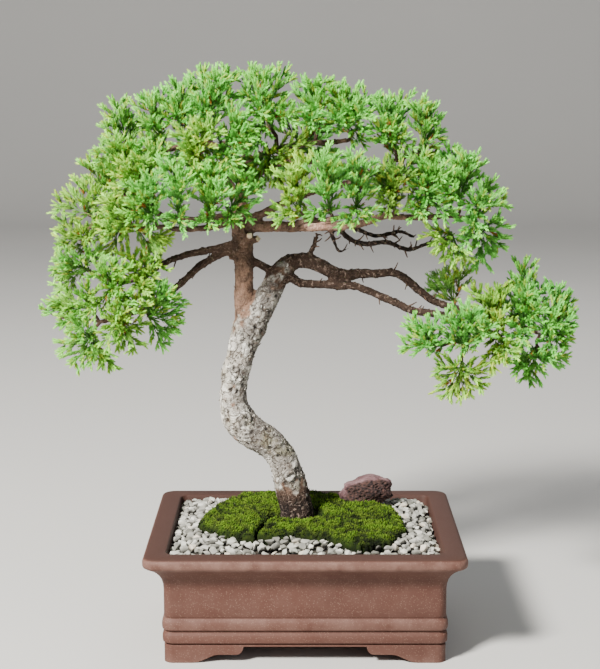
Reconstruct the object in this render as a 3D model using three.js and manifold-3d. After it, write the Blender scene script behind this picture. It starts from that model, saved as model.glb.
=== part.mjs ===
// Garden juniper bonsai in a rectangular unglazed pot. Millimetres, +Z up, front towards -Y.
import * as THREE from "three";
import { mergeVertices } from "three/addons/utils/BufferGeometryUtils.js";
import Module from "manifold-3d";

const wasm = await Module();
wasm.setup();

// Driving dimensions
const POT_LENGTH = 254;
const POT_WIDTH = 203;
const POT_HEIGHT = 89;
const POT_TO_MIDDLE = 6.18624115; // from the pot's middle to the middle of the whole, along +X
const RIM_TOP_WIDTH = 18;
const BODY_INSET = 15.5;
const CORNER_STEPS = 2;
const FLOOR_TOP = 21.5;
const FLOOR_UNDERSIDE = 13.5;
const FOOT_RING = 12;
const FRONT_FOOT_LENGTH = 63;
const FRONT_FOOT_GAP = 97;
const SIDE_FOOT_LENGTH = 50;
const SIDE_FOOT_GAP = 72;
const WALL_STRAIGHT_FROM = 60;
const WALL_LEAN = 0.07;
const RIM_LEDGE_HEIGHT = 5;
const RIM_LEDGE_WIDTH = 5.5;
const RIM_LEDGE_SLOPE = 0.23;
const HOLLOW_CORNER = 6;
const DRAIN_HOLE_RADIUS = 10;
const DRAIN_HOLE_X = 52;
const CLEARANCE = 0.3;
const SOCKET_CLEARANCE = 0.45;
const GROUND_CLEARANCE = 0.8;
const SLIVER = 0.25;
const MESH_SIDE = 32;
const MESH_THICKNESS = 0.9;
const MESH_OPENING = 6.6;
const MESH_BAR = 2.4;
const SOIL_TOP = 79.5;
const MOUND_TOP = 89;
const MOUND_FOOT = [92, 68];
const MOUND_CROWN = [70, 50];
const MOUND_CORNER = 30;
const BED_EDGE_TOP = 82.5;
const BED_INNER_TOP = 90.5;
const BED_SLOPE_WIDTH = 26;
const STONE_SIZE = 16;
const SEAM = 1.2;
const MOSS_PITCH = 13;
const MOSS_LOW_TOP = 96;
const MOSS_DOME_RISE = 7;
const MOSS_DOME_REACH = 95;
const MOSS_EDGE_WIDTH = 7;
const MOSS_EDGE_DROP = 3.6;
const ROCK_HALVES = [22, 13, 16];
const ROCK_PLACE = [53, 44, 105];
const ROCK_UNDERSIDE = 95.5;
const TRUNK_THICK_POINTS = 23;
const TRUNK_LEAFY_POINTS = 12;
const SHOOT_PITCH = 8.25;
const SHOOT_RADIUS = 5;
const SHOOT_LEAN = 0.85;
const PLUME_FULLNESS = 1.1;
const SHOOT_REACH = 1.42;
const PLUME_GAP = 0.6;
const SHOOT_GAP = 0.45;
const PLUME_SIDES = 4;
const CORE_SHARE = 0.4;
const HUB_DEPTH = 5;
const HUB_RADIUS = 3.6;
const BRANCH_RADIUS = 2.3;
const TWIG_RADIUS = 2.2;
const TWIG_TIP_RADIUS = 1.2;

// Helpers
/** Seeded random numbers from 0 to 1. */
function seeded(seed) {
  let state = seed >>> 0;
  return () => {
    state = (state + 0x6d2b79f5) >>> 0;
    let t = state;
    t = Math.imul(t ^ (t >>> 15), t | 1);
    t ^= t + Math.imul(t ^ (t >>> 7), t | 61);
    return ((t ^ (t >>> 14)) >>> 0) / 4294967296;
  };
}

/** Closed geometry as a solid that booleans work on. */
function solidOf(geometry) {
  const bare = geometry.clone();
  bare.deleteAttribute("normal");
  bare.deleteAttribute("uv");
  const merged = mergeVertices(bare, 1e-4);
  return new wasm.Manifold(
    new wasm.Mesh({
      numProp: 3,
      vertProperties: merged.getAttribute("position").array,
      triVerts: new Uint32Array(merged.getIndex().array),
    }),
  );
}

/** The largest body of a solid, without the loose scraps that a cut leaves. */
function largestBody(solid) {
  return solid.decompose().reduce((a, b) => (a.volume() >= b.volume() ? a : b));
}

/** A named mesh with its own material from a solid. */
function meshOf(name, solid, material) {
  const made = solid.getMesh();
  const stride = made.numProp;
  const positions = new Float32Array(made.numVert * 3);
  for (let i = 0; i < made.numVert; i += 1) {
    positions.set(made.vertProperties.subarray(i * stride, i * stride + 3), i * 3);
  }
  const geometry = new THREE.BufferGeometry();
  geometry.setAttribute("position", new THREE.BufferAttribute(positions, 3));
  geometry.setIndex(new THREE.BufferAttribute(new Uint32Array(made.triVerts), 1));
  geometry.computeVertexNormals();
  const mesh = new THREE.Mesh(geometry, material);
  mesh.name = name;
  return mesh;
}

/** Rounded-rectangle body: a lathe whose four quarters are moved apart. */
function roundedLoft(stations) {
  const halfStep = Math.PI / (4 * CORNER_STEPS);
  const profile = [
    new THREE.Vector2(0, stations[0].z),
    ...stations.map(({ z, corner }) => new THREE.Vector2(corner / Math.cos(halfStep), z)),
    new THREE.Vector2(0, stations[stations.length - 1].z),
  ];
  const lathe = new THREE.LatheGeometry(profile, 4 * CORNER_STEPS, halfStep);
  lathe.rotateX(Math.PI / 2);
  const at = lathe.getAttribute("position");
  for (let i = 0; i < at.count; i += 1) {
    const ring = i % profile.length;
    if (ring > 0 && ring < profile.length - 1) {
      const { halfX, halfY, corner } = stations[ring - 1];
      at.setX(i, at.getX(i) + Math.sign(at.getX(i)) * (halfX - corner));
      at.setY(i, at.getY(i) + Math.sign(at.getY(i)) * (halfY - corner));
    }
  }
  return solidOf(lathe);
}

/** Upright prism over a closed outline of [x, y] points. */
function prism(outline, bottom, top) {
  const shape = new THREE.Shape(outline.map(([x, y]) => new THREE.Vector2(x, y)));
  const geometry = new THREE.ExtrudeGeometry(shape, {
    depth: top - bottom,
    bevelEnabled: false,
    curveSegments: 1,
  });
  geometry.translate(0, 0, bottom);
  return solidOf(geometry);
}

/** Box from its two far corners. */
function block(low, high) {
  const size = high.map((value, axis) => value - low[axis]);
  const geometry = new THREE.BoxGeometry(...size);
  geometry.translate(...low.map((value, axis) => value + size[axis] / 2));
  return solidOf(geometry);
}

/** Tapering limb: a lathe bent along a curve, one ring at each [x, y, z, radius] point. */
function limbSolid(path, sides, margin, swell) {
  const curve = new THREE.CatmullRomCurve3(
    path.map(([x, y, z]) => new THREE.Vector3(x, y, z)),
    false,
    "centripetal",
  );
  const last = path.length - 1;
  const centres = path.map((point, k) => curve.getPoint(k / last));
  const tangents = path.map((point, k) => curve.getTangent(k / last));
  const normals = [new THREE.Vector3(0, 1, 0).cross(tangents[0]).normalize()];
  for (let k = 1; k <= last; k += 1) {
    const turn = new THREE.Quaternion().setFromUnitVectors(tangents[k - 1], tangents[k]);
    normals.push(normals[k - 1].clone().applyQuaternion(turn));
  }
  const profile = [new THREE.Vector2(0, 0)];
  path.forEach((point, k) => profile.push(new THREE.Vector2(1, k)));
  profile.push(new THREE.Vector2(0, last));
  const geometry = new THREE.LatheGeometry(profile, sides);
  const at = geometry.getAttribute("position");
  for (let i = 0; i < at.count; i += 1) {
    const ring = i % profile.length;
    const k = Math.min(last, Math.max(0, ring - 1));
    const angle = Math.atan2(at.getX(i), at.getZ(i));
    const onAxis = ring === 0 || ring === profile.length - 1;
    const reach = onAxis ? 0 : path[k][3] * (1 + (swell ? swell(angle, k) : 0)) + margin;
    const point = centres[k].clone();
    if (k === 0 || k === last) {
      point.addScaledVector(tangents[k], k === 0 ? -margin : margin);
    }
    point.addScaledVector(normals[k], Math.cos(angle) * reach);
    point.addScaledVector(tangents[k].clone().cross(normals[k]), Math.sin(angle) * reach);
    at.setXYZ(i, point.x, point.y, point.z);
  }
  return solidOf(geometry);
}

// Pot
const HALF_LENGTH = POT_LENGTH / 2;
const HALF_WIDTH = POT_WIDTH / 2;

/** Outer form: moulded lip, cove, straight body with two bands, down to the feet. */
function potOutside() {
  // inset from the rim, height, corner radius
  const stations = [
    [BODY_INSET, 0, 7],
    [BODY_INSET, 14, 7],
    [BODY_INSET + 1.5, 15, 6],
    [BODY_INSET - 1, 17, 7.5],
    [BODY_INSET - 1, 23.4, 7.5],
    [BODY_INSET + 1.2, 25.6, 6],
    [BODY_INSET - 1.4, 28, 7.5],
    [BODY_INSET - 1.4, 34, 7.5],
    [BODY_INSET + 0.8, 36.4, 6.5],
    [BODY_INSET, 38.5, 7],
    [BODY_INSET, 60, 7],
    [14.3, 72, 7.5],
    [10, 77.2, 9],
    [2.2, 80.8, 10],
    [0, 82.2, 11],
    [0, 87.4, 11],
    [1.6, POT_HEIGHT, 10],
  ];
  return roundedLoft(
    stations.map(([inset, z, corner]) => ({
      halfX: HALF_LENGTH - inset,
      halfY: HALF_WIDTH - inset,
      z,
      corner,
    })),
  );
}

/** Space for the soil, grown or shrunk by a margin. */
function potHollow(margin, bottom, top) {
  const rimX = HALF_LENGTH - RIM_TOP_WIDTH + margin;
  const rimY = HALF_WIDTH - RIM_TOP_WIDTH + margin;
  const slope = (z) => {
    const below = Math.max(0, POT_HEIGHT - RIM_LEDGE_HEIGHT - z);
    const ledge = Math.min(RIM_LEDGE_WIDTH, below * RIM_LEDGE_SLOPE);
    return ledge + Math.max(0, WALL_STRAIGHT_FROM - z) * WALL_LEAN;
  };
  const turns = [bottom, WALL_STRAIGHT_FROM, POT_HEIGHT - RIM_LEDGE_HEIGHT, top];
  const heights = turns.filter((z) => z >= bottom && z <= top);
  const unique = [...new Set(heights)].sort((a, b) => a - b);
  return roundedLoft(
    unique.map((z) => ({
      halfX: rimX - slope(z),
      halfY: rimY - slope(z),
      z,
      corner: HOLLOW_CORNER,
    })),
  );
}

/** Cloud-shaped cut between two feet, as [distance from the middle, height]. */
function footArch(gap, footLength) {
  const scale = footLength / FRONT_FOOT_LENGTH;
  const edge = [
    [40.5, -1],
    [40.5, 0],
    [35, 1.3],
    [29, 3.8],
    [24, 6.1],
    [20, 6.8],
    [6, 6.8],
    [2.6, 7.8],
    [0.9, 10.2],
    [0, FLOOR_UNDERSIDE],
  ].map(([distance, z]) => [gap / 2 + distance * scale, z]);
  return [...edge, ...edge.map(([distance, z]) => [-distance, z]).reverse()];
}

/** Four corner feet: what is left of the foot ring between two crossing cuts. */
function footCuts() {
  const frontArch = footArch(FRONT_FOOT_GAP, FRONT_FOOT_LENGTH);
  const sideArch = footArch(SIDE_FOOT_GAP, SIDE_FOOT_LENGTH);
  const across = prism(frontArch, -HALF_WIDTH, HALF_WIDTH).rotate([90, 0, 0]);
  const along = prism(sideArch, -HALF_LENGTH, HALF_LENGTH).rotate([90, 0, 0]).rotate([0, 0, 90]);
  const recess = roundedLoft(
    [-1, FLOOR_UNDERSIDE].map((z) => ({
      halfX: HALF_LENGTH - BODY_INSET - FOOT_RING,
      halfY: HALF_WIDTH - BODY_INSET - FOOT_RING,
      z,
      corner: 4,
    })),
  );
  return across.add(along).add(recess);
}

/** Round drain hole through the floor. */
function drainHole(x) {
  const geometry = new THREE.CylinderGeometry(DRAIN_HOLE_RADIUS, DRAIN_HOLE_RADIUS, 20, 14);
  geometry.rotateX(Math.PI / 2);
  geometry.translate(x, 0, FLOOR_TOP - 5);
  return solidOf(geometry);
}

function potSolid() {
  return potOutside()
    .subtract(potHollow(0, FLOOR_TOP, POT_HEIGHT + 2))
    .subtract(footCuts())
    .subtract(drainHole(-DRAIN_HOLE_X))
    .subtract(drainHole(DRAIN_HOLE_X));
}

// Drainage mesh
/** Square of plastic mesh that keeps the soil above a drain hole. */
function drainMeshSolid(x) {
  const bottom = FLOOR_TOP + CLEARANCE;
  const half = MESH_SIDE / 2;
  let sheet = block([x - half, -half, bottom], [x + half, half, bottom + MESH_THICKNESS]);
  const pitch = MESH_OPENING + MESH_BAR;
  for (let column = -1; column <= 1; column += 1) {
    for (let row = -1; row <= 1; row += 1) {
      const cx = x + column * pitch;
      const cy = row * pitch;
      const reach = MESH_OPENING / 2;
      sheet = sheet.subtract(
        block([cx - reach, cy - reach, bottom - 1], [cx + reach, cy + reach, bottom + 2]),
      );
    }
  }
  return sheet;
}

/** Pocket in the soil over a square of mesh. */
function meshPocket(x) {
  const half = MESH_SIDE / 2 + CLEARANCE;
  const top = FLOOR_TOP + MESH_THICKNESS + 2 * CLEARANCE;
  return block([x - half, -half, FLOOR_TOP - 1], [x + half, half, top]);
}

// Soil, gravel bed and moss
/** Low mound that the tree stands on, grown by a margin. */
function moundSolid(margin) {
  const station = ([halfX, halfY], z) => ({
    halfX: halfX + margin,
    halfY: halfY + margin,
    z,
    corner: MOUND_CORNER,
  });
  return roundedLoft([
    station(MOUND_FOOT, SOIL_TOP - 10),
    station(MOUND_FOOT, SOIL_TOP + margin),
    station(MOUND_CROWN, MOUND_TOP + margin),
  ]);
}

function soilSolid(trunkGrown) {
  return potHollow(-CLEARANCE, FLOOR_TOP + CLEARANCE, SOIL_TOP)
    .add(moundSolid(0))
    .subtract(meshPocket(-DRAIN_HOLE_X))
    .subtract(meshPocket(DRAIN_HOLE_X))
    .subtract(trunkGrown);
}

// Moss patches round the trunk, outlines in [x, y]
const MOSS_LEFT = [
  [-90, -20], [-77, 35], [-51, 72], [-14, 77], [-8, 30], [-6, 0], [-26, -8], [-34, -30],
  [-40, -56], [-54, -56], [-74, -43],
];
const MOSS_RIGHT = [
  [-14, 77], [22, 70], [60, 40], [78, 20], [83, -12], [44, -18], [14, -10], [-6, 0], [-8, 30],
];
const MOSS_FRONT = [
  [-40, -56], [-28, -57], [-4, -53], [20, -61], [43, -76], [70, -65], [84, -37], [83, -12],
  [44, -18], [14, -10], [-6, 0], [-26, -8], [-34, -30],
];
const MOSS_OUTLINE = [
  [-90, -20], [-77, 35], [-51, 72], [-14, 77], [22, 70], [60, 40], [78, 20], [83, -12],
  [84, -37], [70, -65], [43, -76], [20, -61], [-4, -53], [-28, -57], [-40, -56], [-54, -56],
  [-74, -43],
];

/** Distance from a point to the nearest edge of an outline. */
function edgeDistance(x, y, outline) {
  let nearest = Infinity;
  outline.forEach(([ax, ay], i) => {
    const [bx, by] = outline[(i + 1) % outline.length];
    const dx = bx - ax;
    const dy = by - ay;
    const share = ((x - ax) * dx + (y - ay) * dy) / (dx * dx + dy * dy);
    const t = Math.min(1, Math.max(0, share));
    nearest = Math.min(nearest, Math.hypot(x - ax - t * dx, y - ay - t * dy));
  });
  return nearest;
}

/** Outline moved in or out by a margin. */
function offsetOutline(outline, margin) {
  return outline.map(([x, y], i) => {
    const [px, py] = outline[(i + outline.length - 1) % outline.length];
    const [nx, ny] = outline[(i + 1) % outline.length];
    const inLength = Math.hypot(x - px, y - py);
    const outLength = Math.hypot(nx - x, ny - y);
    const ax = (y - py) / inLength;
    const ay = -(x - px) / inLength;
    const bx = (ny - y) / outLength;
    const by = -(nx - x) / outLength;
    const turn = 1 + ax * bx + ay * by;
    const side = THREE.ShapeUtils.isClockWise(outline.map(([u, v]) => ({ x: u, y: v }))) ? -1 : 1;
    return [x + (side * margin * (ax + bx)) / turn, y + (side * margin * (ay + by)) / turn];
  });
}

/** Height of the moss cushions at a point. */
function mossHeight(x, y, outline) {
  const fromTrunk = Math.hypot(x + 6, y * 1.15) / MOSS_DOME_REACH;
  const dome = MOSS_LOW_TOP + MOSS_DOME_RISE * Math.max(0, 1 - fromTrunk);
  const cushions = 1.5 * Math.sin(x / 5.2 + 0.6) * Math.sin(y / 4.6 + 1.1)
    + 1.1 * Math.sin(x / 3.1 + y / 3.7);
  const edge = Math.min(1, edgeDistance(x, y, outline) / MOSS_EDGE_WIDTH);
  return dome + cushions - MOSS_EDGE_DROP * (1 - edge) ** 2;
}

function mossSolid(outline, cutters) {
  const width = 190;
  const depth = 170;
  const geometry = new THREE.BoxGeometry(
    width,
    depth,
    20,
    Math.round(width / MOSS_PITCH),
    Math.round(depth / MOSS_PITCH),
    1,
  );
  const at = geometry.getAttribute("position");
  for (let i = 0; i < at.count; i += 1) {
    const top = at.getZ(i) > 0;
    at.setZ(i, top ? mossHeight(at.getX(i), at.getY(i), outline) : SOIL_TOP - 4);
  }
  const patch = solidOf(geometry).intersect(
    prism(offsetOutline(outline, -SEAM / 2), SOIL_TOP + CLEARANCE, MOUND_TOP + 30),
  );
  return largestBody(cutters.reduce((solid, cutter) => solid.subtract(cutter), patch)).simplify(
    2 * SLIVER,
  );
}

/** Surface of the gravel: low towards the rim, higher towards the moss. */
function bedHeight(x, y) {
  const inward = Math.min(
    HALF_LENGTH - RIM_TOP_WIDTH - Math.abs(x),
    HALF_WIDTH - RIM_TOP_WIDTH - Math.abs(y),
  );
  const share = Math.min(1, Math.max(0, inward / BED_SLOPE_WIDTH));
  return BED_EDGE_TOP + (BED_INNER_TOP - BED_EDGE_TOP) * share;
}

/** Angular crushed stones as relief: each stone rises to a blunt top between shared cracks. */
function gravelSolid(cutters) {
  const random = seeded(41);
  const across = 2 * Math.ceil((POT_LENGTH - 2 * RIM_TOP_WIDTH) / STONE_SIZE / 2 + 1) * 2;
  const along = 2 * Math.ceil((POT_WIDTH - 2 * RIM_TOP_WIDTH) / STONE_SIZE / 2 + 1) * 2;
  const half = STONE_SIZE / 2;
  const geometry = new THREE.BoxGeometry(across * half, along * half, 30, across, along, 1);
  const at = geometry.getAttribute("position");
  const moved = new Map();
  for (let i = 0; i < at.count; i += 1) {
    const column = Math.round(at.getX(i) / half + across / 2);
    const row = Math.round(at.getY(i) / half + along / 2);
    const key = column * 1000 + row;
    if (!moved.has(key)) {
      const top = column % 2 === 1 && row % 2 === 1;
      const corner = column % 2 === 0 && row % 2 === 0;
      const rise = top ? 5.2 + 2 * random() : corner ? -0.6 * random() : 0.6 + 3.6 * random();
      const spread = top ? 0.3 : 0.22;
      moved.set(key, {
        dx: (random() - 0.5) * STONE_SIZE * spread,
        dy: (random() - 0.5) * STONE_SIZE * spread,
        rise,
      });
    }
    const { dx, dy, rise } = moved.get(key);
    const x = at.getX(i) + dx;
    const y = at.getY(i) + dy;
    const z = at.getZ(i) > 0 ? bedHeight(x, y) + rise - 1.5 : SOIL_TOP - 6;
    at.setXYZ(i, x, y, z);
  }
  const within = potHollow(-CLEARANCE, SOIL_TOP + CLEARANCE, POT_HEIGHT + 20);
  const full = solidOf(geometry).intersect(within);
  return largestBody(cutters.reduce((solid, cutter) => solid.subtract(cutter), full)).simplify(
    2 * SLIVER,
  );
}

// Lava rock
/** Rough porous rock with round pits, grown by a margin. */
function rockSolid(margin) {
  const geometry = new THREE.IcosahedronGeometry(1, 2);
  const at = geometry.getAttribute("position");
  const point = new THREE.Vector3();
  for (let i = 0; i < at.count; i += 1) {
    point.fromBufferAttribute(at, i);
    const lumps = 0.1 * Math.sin(4.1 * point.x + 1.3) * Math.sin(3.7 * point.y + 0.4)
      + 0.09 * Math.sin(7.3 * point.z + 5.1 * point.x);
    const pits = 0.06 * Math.sin(11 * point.x + 2) * Math.sin(12 * point.y) * Math.sin(10 * point.z);
    point.multiplyScalar(1 + lumps + pits);
    const [halfX, halfY, halfZ] = ROCK_HALVES.map((half) => half + margin);
    at.setXYZ(i, point.x * halfX, point.y * halfY, point.z * halfZ);
  }
  geometry.rotateY(-0.12);
  geometry.rotateZ(0.2);
  geometry.translate(...ROCK_PLACE);
  const [x, y] = ROCK_PLACE;
  const reach = 2 * ROCK_HALVES[0];
  const ground = block([x - reach, y - reach, SOIL_TOP], [x + reach, y + reach, ROCK_UNDERSIDE - margin]);
  return solidOf(geometry).subtract(ground);
}

// Wood: trunk, limbs and twigs, [x, y, z, radius]
const TRUNK = [
  [-4, 1, 52, 9], [-5, 1, 74, 12.5], [-6, 0, 88, 14.5], [-6.5, 0, 99, 14.2], [-9, 0, 111, 13.8],
  [-12, 0, 123, 13.8], [-17.5, -1, 142, 12], [-27, -2, 156, 12.8], [-42, -2, 166, 13.6],
  [-54.5, -1, 178, 14], [-58.5, 0, 191, 11.6], [-58.2, 1, 204, 11.2], [-57, 1, 216, 11.8],
  [-53.5, 0, 228, 11.4], [-50.4, 0, 240.5, 12], [-46, 0, 253, 13.8], [-41, 0, 264, 13],
  [-33.5, 0, 275, 11], [-27, 0, 286, 9.8], [-22, 0, 297, 9.2], [-14, 0, 305.5, 8.2],
  [-5, 0, 309.5, 6.6], [6, 0, 308, 6.2], [16, 1, 303, 5.8], [24, 2, 299, 5.4],
  [35, 3, 297, 4.8], [46, 4, 298, 4.2], [59, 4, 298, 3.8], [71, 4, 299, 3.6],
  [79, 3, 296, 3.5], [89, 3, 288, 3.4], [100, 3, 279, 3.3], [112, 2, 273, 3.2],
  [131, 0, 267, 3.2], [152, -4, 263, 3], [175, -4, 256, 2.8], [193, -4, 250, 2.2],
];
const LIMBS = {
  leader: [
    [-50, 0, 258, 7.5], [-50, 0, 280, 7.8], [-49.5, 0, 302, 7.8], [-50, 0, 322, 8.4], [-51, 0, 339, 9],
    [-52, 0, 354, 6.2], [-49, 1, 374, 5], [-47, 0, 394, 4.2], [-50, 0, 414, 3.4],
    [-53, 2, 428, 2.4],
  ],
  left_high: [
    [-51, -1, 337, 4.2], [-64, -6, 345, 3.6], [-77, -12, 344, 3.2], [-93, -16, 344, 2.9],
    [-109, -16, 345, 2.7], [-127, -14, 355, 2.5], [-144, -14, 363, 2.4], [-161, -8, 353, 2.2],
    [-171, -4, 338, 2],
  ],
  left_low: [
    [-56, -2, 323, 3.8], [-75, -6, 319, 3.4], [-95, -8, 315, 3.1], [-114, -9, 308, 2.8],
    [-133, -9, 296, 2.6], [-151, -8, 293, 2.4], [-167, -6, 297, 2],
  ],
  left_lower: [
    [-56, -1, 321, 4], [-82, 0, 307, 3.5], [-96, -2, 295, 3.2], [-113, -5, 281, 3],
    [-129, -8, 272, 2.7], [-148, -10, 265, 2.5], [-166, -10, 260, 2],
  ],
  crown_left: [
    [-50, 0, 378, 3.6], [-60, -8, 394, 3.2], [-75, -14, 404, 2.8], [-92, -16, 404, 2.5],
    [-111, -18, 399, 2.2], [-129, -16, 399, 2],
  ],
  crown_right: [
    [-47, 0, 386, 3.6], [-34, -4, 395, 3.2], [-15, -6, 401, 3], [4, -6, 404, 2.7],
    [23, -6, 405, 2.3], [37, -6, 407, 2],
  ],
  front_left: [
    [-52, -6, 343, 4], [-59, -22, 343, 3.4], [-76, -36, 340, 3], [-96, -40, 339, 2.6],
    [-117, -38, 341, 2.3], [-130, -33, 340, 2],
  ],
  top_right: [
    [-50, 0, 337, 5.6], [-35, -1, 337, 4.8], [-12, -2, 337, 4.6], [20, -4, 338, 4.2],
    [35, -5, 339, 3.8], [49, -8, 341, 3.2], [63, -8, 346, 3], [79, -8, 345, 2.8],
    [100, -6, 345, 2.6], [118, -4, 346, 2.4], [134, -4, 343, 2],
  ],
  mid_front: [[-10, -4, 338, 3], [-1, -20, 343, 2.6], [16, -34, 346, 2.4], [35, -36, 349, 2]],
  up_right: [
    [-51, 0, 341, 4], [-35, 0, 347, 3.6], [-17, 0, 356, 3.2], [7, 2, 365, 2.9],
    [31, 0, 371, 2.7], [52, -4, 379, 2.5], [66, -6, 388, 2.3], [84, -4, 394, 2],
    [95, -2, 395, 1.8],
  ],
  dark_low: [
    [27, -2, 335, 2.6], [38, -2, 326, 2.6], [49, -4, 323, 2.5], [65, -6, 325, 2.4],
    [83, -6, 319, 2.2], [99, -8, 324, 2], [113, -8, 327, 1.8],
  ],
  dark_high: [[36, -3, 338, 2.4], [57, 4, 329, 2.2], [77, 6, 332, 2], [89, 8, 327, 1.5]],
  back_left: [
    [-52, 3, 360, 4.2], [-64, 16, 373, 3.4], [-79, 28, 384, 3], [-101, 36, 385, 2.6],
    [-120, 38, 378, 2.2],
  ],
  back_right: [
    [-50, 3, 366, 4.2], [-35, 18, 380, 3.4], [-12, 32, 387, 3], [21, 38, 385, 2.7],
    [54, 38, 378, 2.4], [75, 38, 375, 2],
  ],
  lower_right: [
    [-25, 0, 292, 6], [-16, 0, 296, 5], [-9, -1, 294, 4.2], [-2, -2, 291, 3.8],
    [16, -2, 290, 3.6], [30, -3, 289, 3.8], [40, -3, 289, 3.4], [51, -3, 285, 3.4],
    [65, -3, 279, 3.4], [76, -3, 274, 3.4], [87, -4, 269, 3.4], [100, -5, 267, 3.2],
    [113, -6, 265, 3.2], [124, -8, 259, 3], [128, -12, 248, 2.6], [129, -14, 236, 2.2],
  ],
  bridge: [[-48, 0, 312, 3.2], [-38, 0, 307, 3.4], [-30, 0, 303, 3.4], [-22, 0, 299, 3.4]],
  front_stub: [[-49, -3, 329, 3.4], [-44, -12.5, 331, 3]],
  side_stub: [[-47, -3, 325, 3.4], [-37, -8, 328, 3]],
  left_stub: [[-52, -3, 311, 2.4], [-61.5, -5, 312.5, 1.8]],
  up_twig: [[1, 0, 309, 3], [7, 0, 321, 2.2], [10, 1, 332, 1.6]],
  hanging_twig: [[20, -3, 336, 2.2], [24, -3, 324, 1.7], [28, -3, 317, 1.4], [36, -2, 320, 1]],
  bare_twig: [[-163, -10, 260, 1.7], [-178, 0, 261, 1.6], [-200, 4, 262, 1.4], [-211, 4, 267, 1.2]],
};

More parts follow.
